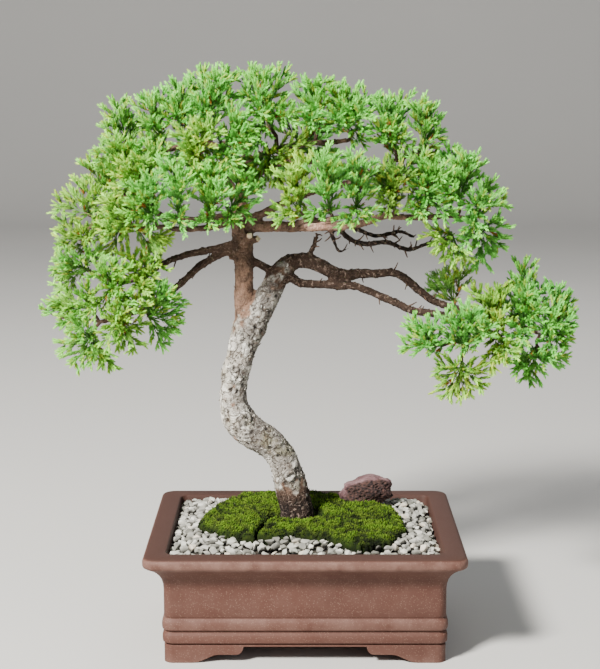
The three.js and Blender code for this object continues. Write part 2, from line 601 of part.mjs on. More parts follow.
// Foliage sprays: where each leaves its limb, its hub, and its plumes as [x, y, z, reach]
const SPRAYS = [
  ["left_peak", "blue", "left_high", [-143, 0, 406],
    [[-150, 0, 437, 11], [-158, -16, 416, 9], [-134, 16, 422, 9]]],
  ["left_shoulder", "blue", "left_high", [-142, -24, 387],
    [[-162, -26, 402, 10], [-147, -38, 408, 9], [-126, -40, 402, 10]]],
  ["left_step", "blue", "left_high", [-161, -6, 367],
    [[-174, -6, 392, 10], [-143, -34, 383, 11], [-161, 22, 386, 10]]],
  ["left_tip", "yellow", "left_high", [-177, -4, 349],
    [[-199, 2, 357, 10], [-181, 4, 376, 10], [-158, -30, 367, 10]]],
  ["left_edge", "yellow", "left_high", [-179, 4, 327],
    [[-199, 20, 339, 10], [-200, 0, 323, 10], [-160, -26, 340, 10]]],
  ["left_edge_low", "blue", "left_low", [-179, -4, 304],
    [[-203, 2, 301, 10], [-196, -18, 315, 9], [-164, -26, 319, 10], [-198, 14, 285, 9]]],
  ["crown_a", "blue", "crown_left", [-114, -18, 410],
    [[-127, -20, 441, 11], [-113, -4, 443, 10], [-120, -46, 402, 10]]],
  ["crown_b", "blue", "crown_left", [-98, -4, 418],
    [[-103, 12, 450, 11], [-92, 26, 448, 10], [-101, -38, 429, 11]]],
  ["crown_c", "blue", "crown_left", [-76, -4, 425],
    [[-83, 16, 459, 11], [-68, -12, 456, 10], [-60, 8, 461, 9], [-81, -36, 432, 10]]],
  ["front_high_left", "yellow", "crown_left", [-82, -36, 400],
    [[-93, -56, 415, 11], [-71, -58, 420, 11], [-86, -70, 396, 10]]],
  ["front_high_mid", "blue", "crown_left", [-62, -32, 406],
    [[-52, -46, 432, 10], [-41, -52, 418, 9], [-60, -62, 393, 11]]],
  ["left_front_mid", "yellow", "left_high", [-126, -32, 374],
    [[-112, -58, 402, 10], [-139, -52, 392, 9], [-144, -50, 372, 10]]],
  ["front_row_a", "blue", "front_left", [-120, -46, 351],
    [[-131, -56, 377, 11], [-113, -74, 381, 11], [-137, -62, 355, 9]]],
  ["front_row_b", "blue", "front_left", [-98, -52, 351],
    [[-103, -66, 394, 12], [-91, -84, 381, 10]]],
  ["front_row_c", "blue", "front_left", [-75, -52, 351],
    [[-83, -66, 391, 12], [-68, -62, 388, 10], [-63, -82, 372, 9]]],
  ["front_row_d", "blue", "front_left", [-58, -42, 356],
    [[-50, -60, 387, 9], [-36, -56, 374, 9]]],
  ["left_mid", "yellow", "front_left", [-133, -28, 339],
    [[-153, -48, 364, 10], [-156, -50, 339, 9], [-107, -30, 331, 8], [-118, -24, 316, 9]]],
  ["inner_left", "yellow", "left_low", [-134, -10, 301],
    [[-114, -16, 312, 8], [-141, -34, 320, 9], [-127, -52, 294, 9]]],
  ["low_front", "blue", "left_low", [-155, -26, 289],
    [[-162, -48, 310, 10], [-144, -48, 310, 10], [-141, -58, 281, 10]]],
  ["low_edge", "blue", "left_lower", [-176, -6, 271],
    [[-199, 8, 281, 9], [-197, -8, 258, 9], [-170, -38, 291, 10], [-216, 2, 269, 6]]],
  ["low_bottom", "blue", "left_lower", [-173, -8, 247],
    [[-199, 6, 239, 9], [-178, -36, 260, 10], [-170, -8, 229, 9], [-155, -10, 220, 6]]],
  ["low_mid", "yellow", "left_lower", [-147, -22, 262],
    [[-157, -44, 252, 10], [-135, -34, 243, 9], [-145, -60, 275, 10]]],
  ["low_right", "blue", "left_lower", [-126, -16, 266],
    [[-122, -28, 296, 11], [-107, -36, 290, 8], [-100, -12, 280, 8], [-100, -14, 259, 9],
      [-115, -14, 241, 8]]],
  ["crown_top", "blue", "crown_right", [-31, 0, 428],
    [[-47, 18, 460, 10], [-34, -6, 461, 10], [-38, -42, 430, 10], [-17, 22, 460, 11],
      [-12, -42, 426, 10]]],
  ["crown_mid", "blue", "crown_right", [7, 0, 422],
    [[-2, 10, 450, 10], [13, -12, 453, 11], [5, -42, 424, 10], [11, 36, 435, 11]]],
  ["crown_right_top", "blue", "crown_right", [34, -4, 418],
    [[23, -12, 447, 10], [38, 20, 443, 10], [22, -42, 425, 10], [52, 6, 442, 11],
      [42, -38, 428, 10]]],
  ["crown_right_edge", "blue", "up_right", [68, -4, 406],
    [[61, -8, 438, 11], [79, 14, 438, 11], [58, -36, 417, 10], [79, -26, 408, 9]]],
  ["crown_far_right", "blue", "up_right", [95, 0, 403],
    [[89, -10, 436, 10], [101, 14, 430, 11], [107, -4, 410, 9]]],
  ["inner_dark", "olive", "crown_right", [-29, -16, 399],
    [[-46, -40, 380, 11], [-23, -40, 380, 11], [1, -38, 407, 10]]],
  ["mid_front_a", "yellow", "mid_front", [-4, -42, 353],
    [[-15, -56, 385, 10], [1, -48, 396, 10], [-15, -66, 353, 8]]],
  ["mid_front_b", "blue", "mid_front", [18, -48, 356],
    [[14, -68, 398, 12], [28, -58, 389, 9], [5, -68, 354, 9]]],
  ["mid_front_c", "blue", "mid_front", [40, -42, 357],
    [[36, -62, 397, 9], [48, -48, 393, 9], [52, -54, 352, 8], [30, -62, 347, 8]]],
  ["right_mid_a", "olive", "top_right", [71, -18, 361],
    [[55, -34, 385, 11], [75, -46, 389, 11], [64, -50, 358, 9]]],
  ["right_mid_b", "blue", "top_right", [96, -16, 364],
    [[90, -30, 397, 11], [105, -42, 384, 10], [85, -46, 351, 10]]],
  ["right_top", "blue", "top_right", [125, 0, 358],
    [[117, 10, 397, 10], [128, -12, 396, 10], [138, 20, 387, 10], [109, -42, 368, 10]]],
  ["right_edge", "blue", "top_right", [142, -2, 352],
    [[149, 10, 373, 9], [162, 0, 358, 8], [132, -36, 360, 10]]],
  ["right_low", "yellow", "dark_low", [117, -14, 334],
    [[98, -36, 336, 10], [109, -20, 315, 9], [125, -32, 312, 9]]],
  ["right_low_edge", "blue", "top_right", [141, -4, 335],
    [[158, -12, 345, 8], [159, 4, 321, 10], [139, -12, 306, 9]]],
  ["pad_olive", "olive", "trunk", [123, 12, 273],
    [[110, 18, 297, 10], [128, 6, 302, 10], [101, 14, 286, 7]]],
  ["pad_left", "blue", "lower_right", [104, -20, 243],
    [[83, -22, 266, 8], [79, -18, 241, 8], [100, -42, 263, 9]]],
  ["pad_front", "blue", "lower_right", [125, -34, 247],
    [[109, -46, 271, 10], [129, -52, 277, 10], [142, -58, 264, 10]]],
  ["pad_low", "yellow", "lower_right", [126, -14, 223],
    [[107, -14, 225, 9], [113, -12, 198, 8], [130, -8, 197, 8], [146, -24, 210, 8]]],
  ["pad_mid", "yellow", "trunk", [156, -12, 253],
    [[144, -16, 283, 9], [157, -8, 290, 10], [159, -54, 244, 10], [147, -40, 230, 9]]],
  ["pad_top", "blue", "trunk", [178, -2, 261],
    [[178, 2, 309, 10], [175, -30, 287, 9], [194, 10, 286, 10], [169, -46, 254, 10],
      [192, 36, 256, 10], [166, 32, 272, 10]]],
  ["pad_right", "blue", "trunk", [201, -2, 251],
    [[206, 4, 288, 10], [217, 20, 274, 9], [217, -6, 263, 9], [215, -8, 244, 9],
      [191, -38, 265, 10]]],
  ["pad_bottom", "blue", "trunk", [186, -10, 232],
    [[183, -10, 211, 9], [195, -36, 236, 9], [214, 4, 228, 8], [166, -38, 228, 9],
      [179, 22, 226, 9]]],
  ["back_left", "olive", "back_left", [-128, 40, 375],
    [[-162, 46, 389, 12], [-129, 50, 414, 12], [-139, 64, 344, 12], [-171, 42, 343, 11],
      [-167, 34, 307, 11]]],
  ["back_crown", "blue", "back_left", [-84, 46, 404],
    [[-98, 50, 434, 12], [-69, 60, 434, 12], [-93, 82, 380, 12], [-123, 78, 394, 12],
      [-65, 64, 373, 11]]],
  ["back_right", "blue", "back_right", [-4, 46, 399],
    [[-24, 54, 434, 12], [29, 52, 426, 12], [-21, 80, 375, 12], [11, 84, 402, 12],
      [35, 66, 373, 12]]],
  ["back_far", "olive", "back_right", [82, 40, 380],
    [[69, 46, 417, 12], [61, 72, 360, 12], [104, 50, 399, 12], [123, 46, 366, 12],
      [101, 68, 346, 12]]],
];

/** Straight tapering pieces that stand for a limb when clearances are tested. */
function bonesOf(path, owner) {
  return path.slice(1).map((to, i) =>
    boneOf(new THREE.Vector3(...path[i]), new THREE.Vector3(...to), path[i][3], to[3], owner),
  );
}

/** Closest point of a path to a point, as [x, y, z, radius]. */
function nearestOn(path, point) {
  let best = null;
  let nearest = Infinity;
  bonesOf(path, "").forEach((bone) => {
    const line = new THREE.Line3(bone.from, bone.to);
    const t = line.closestPointToPointParameter(point, true);
    const at = line.at(t, new THREE.Vector3());
    if (at.distanceTo(point) < nearest) {
      nearest = at.distanceTo(point);
      best = [at.x, at.y, at.z, THREE.MathUtils.lerp(bone.fromRadius, bone.toRadius, t)];
    }
  });
  return best;
}

/** Twig from a limb to the hub of a spray. */
function twigPath([, , limb, hub]) {
  const carrier = limb === "trunk" ? TRUNK.slice(-TRUNK_LEAFY_POINTS) : LIMBS[limb];
  const start = nearestOn(carrier, new THREE.Vector3(...hub));
  const root = THREE.MathUtils.clamp(start[3] * 0.6, 1.4, TWIG_RADIUS);
  return [[...start.slice(0, 3), root], [...hub, TWIG_TIP_RADIUS]];
}

/** Straight three-sided twig, grown by a margin. */
function twigSolid([from, to], margin) {
  const start = new THREE.Vector3(...from);
  const end = new THREE.Vector3(...to);
  const axis = end.clone().sub(start).normalize();
  const length = start.distanceTo(end) + margin;
  const geometry = new THREE.CylinderGeometry(to[3] + margin, from[3] + margin, length, 3);
  geometry.translate(0, length / 2, 0);
  geometry.applyQuaternion(
    new THREE.Quaternion().setFromUnitVectors(new THREE.Vector3(0, 1, 0), axis),
  );
  geometry.translate(start.x, start.y, start.z);
  return solidOf(geometry);
}

/** Ridged, knotted bark of the trunk. */
function barkSwell(angle, k) {
  return 0.05 * Math.sin(3 * angle + k * 0.9) + 0.04 * Math.sin(5 * angle - k * 1.7)
    + 0.03 * Math.sin(k * 2.3);
}

/** Trunk, limbs and twigs, grown by a margin. */
function woodSolid(margin) {
  const parts = [
    limbSolid(TRUNK.slice(0, TRUNK_THICK_POINTS), 9, margin, barkSwell),
    limbSolid(TRUNK.slice(TRUNK_THICK_POINTS - 1), 5, margin, null),
  ];
  Object.values(LIMBS).forEach((path) => {
    parts.push(limbSolid(path, path[0][3] > 5 ? 6 : 4, margin * 1.3, null));
  });
  SPRAYS.forEach((spray) => {
    parts.push(twigSolid(twigPath(spray), margin * 1.6));
  });
  return wasm.Manifold.union(parts).simplify(SLIVER);
}

/** Whether a tapering shoot keeps clear of everything that other plumes and pieces own. */
function isClear(shoot, bones, gap) {
  const samples = 6;
  const point = new THREE.Vector3();
  const closest = new THREE.Vector3();
  const reach = shoot.from.distanceTo(shoot.to) / 2 + shoot.fromRadius + gap;
  const middle = shoot.from.clone().lerp(shoot.to, 0.5);
  return !bones.some((bone) => {
    if (bone.plume !== undefined && bone.plume === shoot.plume) {
      return false;
    }
    if (bone.owner === shoot.owner && !shoot.avoidSiblings) {
      return false;
    }
    const span = reach + bone.halfLength + Math.max(bone.fromRadius, bone.toRadius);
    if (middle.distanceTo(bone.middle) > span) {
      return false;
    }
    const line = new THREE.Line3(bone.from, bone.to);
    for (let i = bone.owner === "wood" || bone.owner === shoot.owner ? 3 : 0; i < samples; i += 1) {
      const share = i / (samples - 1);
      point.lerpVectors(shoot.from, shoot.to, share);
      const t = line.closestPointToPointParameter(point, true);
      line.at(t, closest);
      const radii = THREE.MathUtils.lerp(shoot.fromRadius, shoot.toRadius, share)
        + THREE.MathUtils.lerp(bone.fromRadius, bone.toRadius, t);
      if (point.distanceTo(closest) < radii + gap) {
        return true;
      }
    }
    return false;
  });
}

/** Straight tapering piece for the clearance test. */
function boneOf(from, to, fromRadius, toRadius, owner, plume) {
  return {
    from,
    to,
    fromRadius,
    toRadius,
    owner,
    plume,
    middle: from.clone().lerp(to, 0.5),
    halfLength: from.distanceTo(to) / 2,
  };
}

/** Plume axes of every spray, bent clear of the wood and of each other. */
function layOutPlumes(bones) {
  const shifts = [[0, 0, 0], [0, -5, 0], [0, 5, 0], [-5, 0, 0], [5, 0, 0], [0, 0, -5], [0, -10, 0],
    [0, 10, 0], [-8, -6, 0], [8, -6, 0], [-8, 6, 0], [8, 6, 0], [0, -14, -4], [0, 14, -4]];
  const plumes = new Map();
  SPRAYS.forEach(([name, , , hub, tips]) => {
    const from = new THREE.Vector3(...hub);
    const laid = [];
    tips.forEach(([x, y, z, reach]) => {
      const core = CORE_SHARE * reach;
      const halves = ([dx, dy, dz]) => {
        const to = new THREE.Vector3(x + dx, y + dy, z + dz);
        const middle = from.clone().lerp(to, 0.5);
        return [boneOf(from, middle, core, core, name, to), boneOf(middle, to, core, 0.3, name, to)];
      };
      const clear = shifts.find((shift) => halves(shift).every((bone) => isClear(bone, bones, PLUME_GAP)));
      if (!clear) {
        throw new Error("no room for a plume of " + name);
      }
      const [lower, upper] = halves(clear);
      laid.push({ to: upper.to, reach: reach * PLUME_FULLNESS });
      bones.push(lower, upper);
    });
    plumes.set(name, { from, laid });
  });
  return plumes;
}

/** Widest reach of a plume's shoots at a share of its length. */
function plumeFullness(share) {
  return share < 0.45 ? 0.62 + 0.84 * share : 1.14 - 0.34 * share;
}

/**
 * One plume: a slim core whose surface is drawn out into pointed shoots, in turn at every
 * second corner of each ring, kept clear of other pieces. The first plume of a spray holds
 * the socket of the twig, and the others spring from it.
 */
function plumeSolid(from, plume, isFirst, bones, owner, random) {
  const axis = plume.to.clone().sub(from);
  const length = axis.length();
  axis.normalize();
  const shootRings = Math.max(2, Math.round((0.6 * length) / SHOOT_PITCH) + 1);
  const shares = [isFirst ? 0 : 0.17];
  for (let ring = 0; ring < shootRings; ring += 1) {
    shares.push(0.29 + (0.57 * ring) / (shootRings - 1));
  }
  const rings = shares.length;
  const profile = [new THREE.Vector2(0, 0)];
  shares.forEach((share, ring) => profile.push(new THREE.Vector2(1, ring + 1)));
  profile.push(new THREE.Vector2(0, rings + 1));
  const geometry = new THREE.LatheGeometry(profile, PLUME_SIDES);
  const at = geometry.getAttribute("position");
  const turn = new THREE.Quaternion().setFromUnitVectors(new THREE.Vector3(0, 1, 0), axis);
  const phase = random() * Math.PI;
  const stride = profile.length;
  const isShoot = (segment, ring) => ring > 1 && ring <= rings && (segment + ring) % 2 === 0;
  for (let segment = 0; segment <= PLUME_SIDES; segment += 1) {
    for (let ring = 0; ring < stride; ring += 1) {
      const i = segment * stride + ring;
      if (segment === PLUME_SIDES) {
        at.setXYZ(i, at.getX(ring), at.getY(ring), at.getZ(ring));
      } else {
        const share = shares[THREE.MathUtils.clamp(ring - 1, 0, rings - 1)];
        const angle = phase + (2 * Math.PI * segment) / PLUME_SIDES;
        const outward = new THREE.Vector3(Math.sin(angle), 0, Math.cos(angle));
        outward.applyQuaternion(turn);
        const point = from.clone().addScaledVector(axis, share * length);
        if (ring === 0) {
          point.copy(from).addScaledVector(axis, isFirst ? -HUB_DEPTH : 0);
        } else if (ring === stride - 1) {
          point.copy(plume.to);
        } else if (ring === 1) {
          point.addScaledVector(outward, isFirst ? HUB_RADIUS : BRANCH_RADIUS);
        } else if (isShoot(segment, ring)) {
          point.copy(shootTip(point, axis, outward, plume, share, length, bones, owner, random));
        } else {
          point.addScaledVector(outward, CORE_SHARE * plume.reach * plumeFullness(share));
        }
        at.setXYZ(i, point.x, point.y, point.z);
      }
    }
  }
  const index = [];
  for (let segment = 0; segment < PLUME_SIDES; segment += 1) {
    for (let ring = 0; ring < stride - 1; ring += 1) {
      const a = segment * stride + ring;
      const b = a + stride;
      if (isShoot(segment, ring) || isShoot(segment + 1, ring + 1)) {
        index.push(a, b, a + 1, b + 1, a + 1, b);
      } else {
        index.push(a, b, b + 1, a, b + 1, a + 1);
      }
    }
  }
  geometry.setIndex(index);
  return solidOf(geometry);
}

/** Point of one shoot, as far out as its neighbours leave room. */
function shootTip(root, axis, outward, plume, share, length, bones, owner, random) {
  const wanted = SHOOT_REACH * plume.reach * plumeFullness(share) * (0.88 + 0.24 * random());
  const forward = SHOOT_LEAN * (0.9 + 0.3 * random());
  const most = (1.06 - share) * length;
  for (const part of [1, 0.87, 0.75, 0.63, 0.52, 0.42]) {
    const out = wanted * part;
    const tip = root.clone().addScaledVector(outward, out);
    tip.addScaledVector(axis, Math.min(most, out * forward));
    const shoot = boneOf(root, tip, SHOOT_RADIUS, 0.2, owner, plume.to);
    shoot.avoidSiblings = true;
    if (isClear(shoot, bones, SHOOT_GAP)) {
      bones.push(shoot);
      return tip;
    }
  }
  return root.clone().addScaledVector(outward, CORE_SHARE * plume.reach * 0.8);
}

/** One spray: plumes that meet at the hub, with a socket for the twig. */
function spraySolid({ from, laid }, share, bones, owner, woodGrown, random) {
  const parts = laid.map(({ to, reach }, i) =>
    plumeSolid(from, { to, reach: reach * share }, i === 0, bones, owner, random),
  );
  return largestBody(wasm.Manifold.union(parts).subtract(woodGrown)).simplify(SLIVER);
}

/** Spray at the fullest size that leaves a gap to the sprays already made. */
function fitSpray(name, order, plumes, bones, woodGrown, made) {
  const kept = bones.length;
  for (const share of [1, 0.92, 0.84, 0.76, 0.68, 0.6]) {
    for (let attempt = 0; attempt < 5; attempt += 1) {
      bones.length = kept;
      const random = seeded(100 * attempt + order + 1);
      const solid = spraySolid(plumes.get(name), share, bones, name, woodGrown, random);
      const gaps = made.map((other) => solid.minGap(other, 1));
      if (gaps.every((gap) => gap >= CLEARANCE)) {
        return solid;
      }
    }
  }
  throw new Error("no room for spray " + name);
}

// Materials
function matte(colour, roughness) {
  return new THREE.MeshStandardMaterial({
    color: new THREE.Color(colour),
    roughness,
    metalness: 0,
    flatShading: true,
  });
}
const FOLIAGE_COLOURS = { blue: 0x7fb27a, yellow: 0x9db556, olive: 0x5d7a3c };

// Assembly
const bonsai = new THREE.Group();
bonsai.name = "garden_juniper_bonsai";
const wood = woodSolid(0);
const woodGrown = woodSolid(SOCKET_CLEARANCE);
const rock = rockSolid(0);
const rockGrown = rockSolid(GROUND_CLEARANCE);
const rootsGrown = woodSolid(GROUND_CLEARANCE);
const mound = moundSolid(GROUND_CLEARANCE);
bonsai.add(meshOf("pot", potSolid(), matte(0x5a4a42, 0.85)));
bonsai.add(meshOf("drain_mesh_left", drainMeshSolid(-DRAIN_HOLE_X), matte(0x1d1f1e, 0.6)));
bonsai.add(meshOf("drain_mesh_right", drainMeshSolid(DRAIN_HOLE_X), matte(0x1d1f1e, 0.6)));
bonsai.add(meshOf("soil", soilSolid(rootsGrown), matte(0x3a2c22, 1)));
const outlinePrism = prism(offsetOutline(MOSS_OUTLINE, CLEARANCE), 60, 130);
const gravel = gravelSolid([mound, outlinePrism, rockGrown, rootsGrown]);
bonsai.add(meshOf("gravel", gravel, matte(0xa9a7a0, 0.95)));
Object.entries({ left: MOSS_LEFT, right: MOSS_RIGHT, front: MOSS_FRONT }).forEach(([side, line]) => {
  const patch = mossSolid(line, [mound, rockGrown, rootsGrown]);
  bonsai.add(meshOf("moss_" + side, patch, matte(0x6f8a2e, 1)));
});
bonsai.add(meshOf("lava_rock", rock, matte(0x6b4a4c, 0.95)));
bonsai.add(meshOf("trunk", wood, matte(0x8a7b6c, 0.95)));

const bones = bonesOf(TRUNK, "wood");
Object.values(LIMBS).forEach((path) => bones.push(...bonesOf(path, "wood")));
SPRAYS.forEach((spray) => bones.push(...bonesOf(twigPath(spray), spray[0])));
const plumes = layOutPlumes(bones);
const made = [];
SPRAYS.forEach(([name, hue], order) => {
  const solid = fitSpray(name, order, plumes, bones, woodGrown, made);
  made.push(solid);
  bonsai.add(meshOf("spray_" + name, solid, matte(FOLIAGE_COLOURS[hue], 0.75)));
});

// Origin at the middle of the underside of the whole
bonsai.children.forEach((piece) => {
  piece.geometry.translate(-POT_TO_MIDDLE, 0, 0);
});

export default bonsai;
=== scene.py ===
"""Garden juniper bonsai in a rectangular unglazed pot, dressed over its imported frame."""

import math
import random

import bmesh
import bpy
from bmesh.types import BMEdge, BMFace, BMVert
from mathutils import Matrix, Quaternion, Vector, noise
from mathutils.geometry import intersect_point_line
from mathutils.kdtree import KDTree


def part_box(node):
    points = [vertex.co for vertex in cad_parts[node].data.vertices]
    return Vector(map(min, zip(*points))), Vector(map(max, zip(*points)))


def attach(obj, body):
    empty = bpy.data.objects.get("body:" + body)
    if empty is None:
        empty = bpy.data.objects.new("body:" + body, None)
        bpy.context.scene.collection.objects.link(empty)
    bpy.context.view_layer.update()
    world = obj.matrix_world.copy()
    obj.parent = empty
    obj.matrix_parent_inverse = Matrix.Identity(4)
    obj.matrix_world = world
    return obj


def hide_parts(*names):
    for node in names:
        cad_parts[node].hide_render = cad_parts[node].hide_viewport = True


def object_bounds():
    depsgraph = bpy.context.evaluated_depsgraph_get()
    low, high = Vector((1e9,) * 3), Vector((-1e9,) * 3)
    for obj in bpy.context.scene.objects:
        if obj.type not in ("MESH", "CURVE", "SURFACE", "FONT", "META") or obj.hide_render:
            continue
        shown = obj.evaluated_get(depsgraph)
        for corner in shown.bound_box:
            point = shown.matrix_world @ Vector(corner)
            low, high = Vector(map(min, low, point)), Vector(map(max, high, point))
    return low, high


bl_info = {
    "name": "Garden juniper bonsai",
    "version": (1, 0, 0),
    "blender": (4, 5, 0),
    "location": "3D View > Sidebar > Bonsai",
    "description": "Builds the pot, ground, wood and foliage of a garden juniper bonsai",
    "category": "Add Mesh",
}

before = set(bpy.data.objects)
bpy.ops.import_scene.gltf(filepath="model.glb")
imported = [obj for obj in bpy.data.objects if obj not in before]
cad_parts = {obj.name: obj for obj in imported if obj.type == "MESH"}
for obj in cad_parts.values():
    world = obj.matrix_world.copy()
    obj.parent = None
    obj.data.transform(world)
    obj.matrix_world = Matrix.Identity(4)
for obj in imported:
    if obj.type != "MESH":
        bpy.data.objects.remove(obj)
CAD_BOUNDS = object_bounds()
MM = 0.001
POT_LOW, POT_HIGH = (Vector(corner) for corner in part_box("pot"))
POT_MIDDLE = Vector(((POT_LOW.x + POT_HIGH.x) / 2, (POT_LOW.y + POT_HIGH.y) / 2, 0.0))
BOX_LOW, BOX_HIGH = (Vector(corner) for corner in CAD_BOUNDS)
BOX_MARGIN = 1.3 * MM

# Starts of the random draws
GRAVEL_SEED = 41
MOSS_SEED = 70
WOOD_SEED = 8
SHOOT_SEED = 5
SPRAY_SEED = 500

# The pot's own forms: inset from the rim, height and corner radius, in millimetres
POT_OUTSIDE = [
    (15.5, 0, 7), (15.5, 14, 7), (16.3, 14.5, 6.6), (17.0, 15, 6), (16.4, 15.8, 6.5),
    (14.7, 16.6, 7.3), (14.3, 18, 7.5), (14.2, 20, 7.5), (14.3, 22.4, 7.5), (14.8, 23.8, 7.3),
    (16.4, 25.0, 6.4), (16.7, 25.6, 6), (15.6, 26.6, 6.8), (14.4, 27.4, 7.4), (14.0, 28.8, 7.5),
    (13.9, 31, 7.5), (14.1, 33.4, 7.5), (14.7, 34.8, 7.3), (16.0, 35.9, 6.6), (16.3, 36.5, 6.5),
    (15.9, 37.6, 6.8), (15.5, 38.6, 7), (15.5, 48, 7), (15.5, 59, 7), (15.1, 64, 7.1),
    (14.0, 68, 7.5), (12.1, 71.4, 8), (9.6, 74.4, 8.7), (6.8, 76.8, 9.4), (4.2, 78.6, 9.9),
    (2.1, 79.8, 10.4), (0.7, 80.9, 10.8), (0.1, 82.4, 11), (0.0, 84, 11), (0.1, 85.8, 11),
    (0.7, 87.4, 10.7), (1.8, 88.5, 10.1), (3.4, 89.0, 9.4),
]
POT_INSIDE = [
    (16.4, 89.0, 7.2), (17.4, 88.7, 6.6), (18.0, 87.9, 6), (18.2, 84, 6), (22.0, 70, 6),
    (23.5, 60, 6), (26.2, 21.5, 6),
]

# Arch between two feet of the long side: distance into the foot and height, in millimetres
FOOT_ARCH = [(40.5, -3), (40.5, 0), (37, 0.6), (33, 2.0), (29, 3.8), (26, 5.3), (23, 6.4),
             (20, 6.8), (6, 6.8), (3.8, 7.2), (2.2, 8.4), (0.9, 10.4), (0, 13.5)]
LONG_GAP_HALF, LONG_FOOT = 48.5, 63.0
SHORT_GAP_HALF, SHORT_FOOT = 36.0, 50.0
FOOT_RING = 12.0
RECESS_CORNER = 4.0
CUT_START = -3.0
FLOOR_UNDERSIDE = 13.5
DRAIN_X = 52.0
DRAIN_RADIUS = 10.0
DRAIN_SIDES = 40
DRAIN_CUT_MIDDLE = 16.0
DRAIN_CUT_DEPTH = 30.0
CORNER_SEGMENTS = 6
WELD = 0.01
SHARP_ANGLE = math.radians(38)

# Where the clay gets painted shade, painted highlight and rubbed wear, in millimetres from the feet's
# bottom or the rim, and how much
WALL_THICK = 16.0
RIM_SHADED_FROM = 88.2
LIP_FROM = 79.0
WORN_FOOT_TOP = 2.0
WORN_BAND = (26.5, 36.0)
# Painted shade on the rim's top and inside the wall, a painted highlight with some wear on the lip,
# and wear on the bands and feet
RIM_PAINTED_SHADE = -0.8
LIP_WEAR_AND_HIGHLIGHT = 0.9
BAND_WEAR = 0.5

# The gravel bed, in millimetres: it falls towards the pot's wall and stands just off the soil
SOIL_TOP = 79.8
BED_HALF_LENGTH = 108.3
BED_HALF_WIDTH = 82.8
BED_STEPS = (60, 46)
WALL_FACE = (109.0, 83.5)
BED_LOW = 82.5
BED_RISE = 8.0
BED_FALL_WIDTH = 26.0
BED_SINK = 3.4
BED_RELIEF = 0.8
BED_RELIEF_SPAN = 3.0
BED_GAP = 0.2
BED_SHADE = -1.0

# Crushed stones: half their proportions, their spacing and sizes as shares of the mean size, and
# how far they tip over, in radians
STONE_SHAPE = (0.5, 0.4, 0.33)
STONE_POINTS = 15
STONE_KINDS = 8
STONE_PITCH = 0.88
STONE_SCATTER = 0.32
STONE_SIZES = (0.72, 1.3)
STONE_TIP = 0.45

# The two layers of stones: lift in millimetres and sideways shift as a share of the spacing
STONE_LAYERS = ((-1.6, 0.0), (0.5, 0.5))
STONE_LIFTS = (-0.7, 0.9)
FIRST_STONE = 3.0
LAST_STONE = 2.0
EDGE_STONE = 2.0
UNDER_MOSS = 3.5

# Outlines of the three moss patches, in millimetres, which share their seams
MOSS = {
    "left": [(-90, -20), (-77, 35), (-51, 72), (-14, 77), (-8, 30), (-6, 0), (-26, -8),
             (-34, -30), (-40, -56), (-54, -56), (-74, -43)],
    "right": [(-14, 77), (22, 70), (60, 40), (78, 20), (83, -12), (44, -18), (14, -10), (-6, 0),
              (-8, 30)],
    "front": [(-40, -56), (-28, -57), (-4, -53), (20, -61), (43, -76), (70, -65), (84, -37),
              (83, -12), (44, -18), (14, -10), (-6, 0), (-26, -8), (-34, -30)],
}
MOSS_EDGE = MOSS["left"][:4] + MOSS["right"][1:5] + MOSS["front"][6::-1] + MOSS["left"][9:]

# The moss, in millimetres: a low dome of cushions that dips in front of the trunk's foot
TRUNK_FOOT_X = -6.0
MOSS_LOW = 95.6
MOSS_DOME = 7.0
MOSS_REACH = 95.0
MOSS_NARROWING = 1.15
CUSHION_SPAN, CUSHION_HEIGHT = 9.0, 2.4
BUMP_SPAN, BUMP_HEIGHT = 3.6, 1.3
EDGE_ROUNDING, EDGE_DROP = 7.0, 5.0
DIP_DEPTH = 6.0
DIP_ROUND_TRUNK = (14, 34)
DIP_IN_FRONT = (14, -8)
SEAM_SHADE_WIDTH = 5.0
MAT_PITCH = 1.9
MAT_INSET = 0.7
MAT_SINK = 0.4
MAT_GAP = 2.0
# How much of the lit moss colour the mat's top keeps under the painted shade among the tufts
MAT_TIP_VALUE = 0.35
TUFTS_PER_AREA = 0.62
TUFT_INSET = 1.4
TUFT_SINK = 0.8
TUFT_WIDTH = 2.4
TUFT_HEIGHTS = (1.5, 3.0)
TUFT_FULL_AT = 5.0
TUFT_LEAN = 0.35

# Lava rock: half sizes and place in millimetres, and its turns in radians
ROCK_HALF = (24.5, 13.0, 13.5)
ROCK_PLACE = (53, 44, 103.5)
ROCK_TURNS = (("Y", -0.12), ("Z", 0.2))
ROCK_DIVISIONS = 6
ROCK_BOXINESS = 0.82
ROCK_FULLNESS = 0.94

# Wood as x, y, z and radius in millimetres from the middle of the pot's underside
TRUNK = [
    (-4, 1, 52, 9), (-5, 1, 74, 12.5), (-6, 0, 88, 14.5), (-6.5, 0, 99, 14.2),
    (-9, 0, 111, 13.8), (-12, 0, 123, 13.8), (-17.5, -1, 142, 12), (-27, -2, 156, 12.8),
    (-42, -2, 166, 13.6), (-54.5, -1, 178, 14), (-58.5, 0, 191, 11.6), (-58.2, 1, 204, 11.2),
    (-57, 1, 216, 11.8), (-53.5, 0, 228, 11.4), (-50.4, 0, 240.5, 12), (-46, 0, 253, 13.8),
    (-41, 0, 264, 13), (-33.5, 0, 275, 11), (-27, 0, 286, 9.8), (-22, 0, 297, 9.2),
    (-14, 0, 305.5, 8.2), (-5, 0, 309.5, 6.6), (6, 0, 308, 6.2), (16, 1, 303, 5.8),
    (24, 2, 299, 5.4), (35, 3, 297, 4.8), (46, 4, 298, 4.2), (59, 4, 298, 3.8),
    (71, 4, 299, 3.6), (79, 3, 296, 3.5), (89, 3, 288, 3.4), (100, 3, 279, 3.3),
    (112, 2, 273, 3.2), (131, 0, 267, 3.2), (152, -4, 263, 3), (175, -4, 256, 2.8),
    (193, -4, 250, 2.2),
]
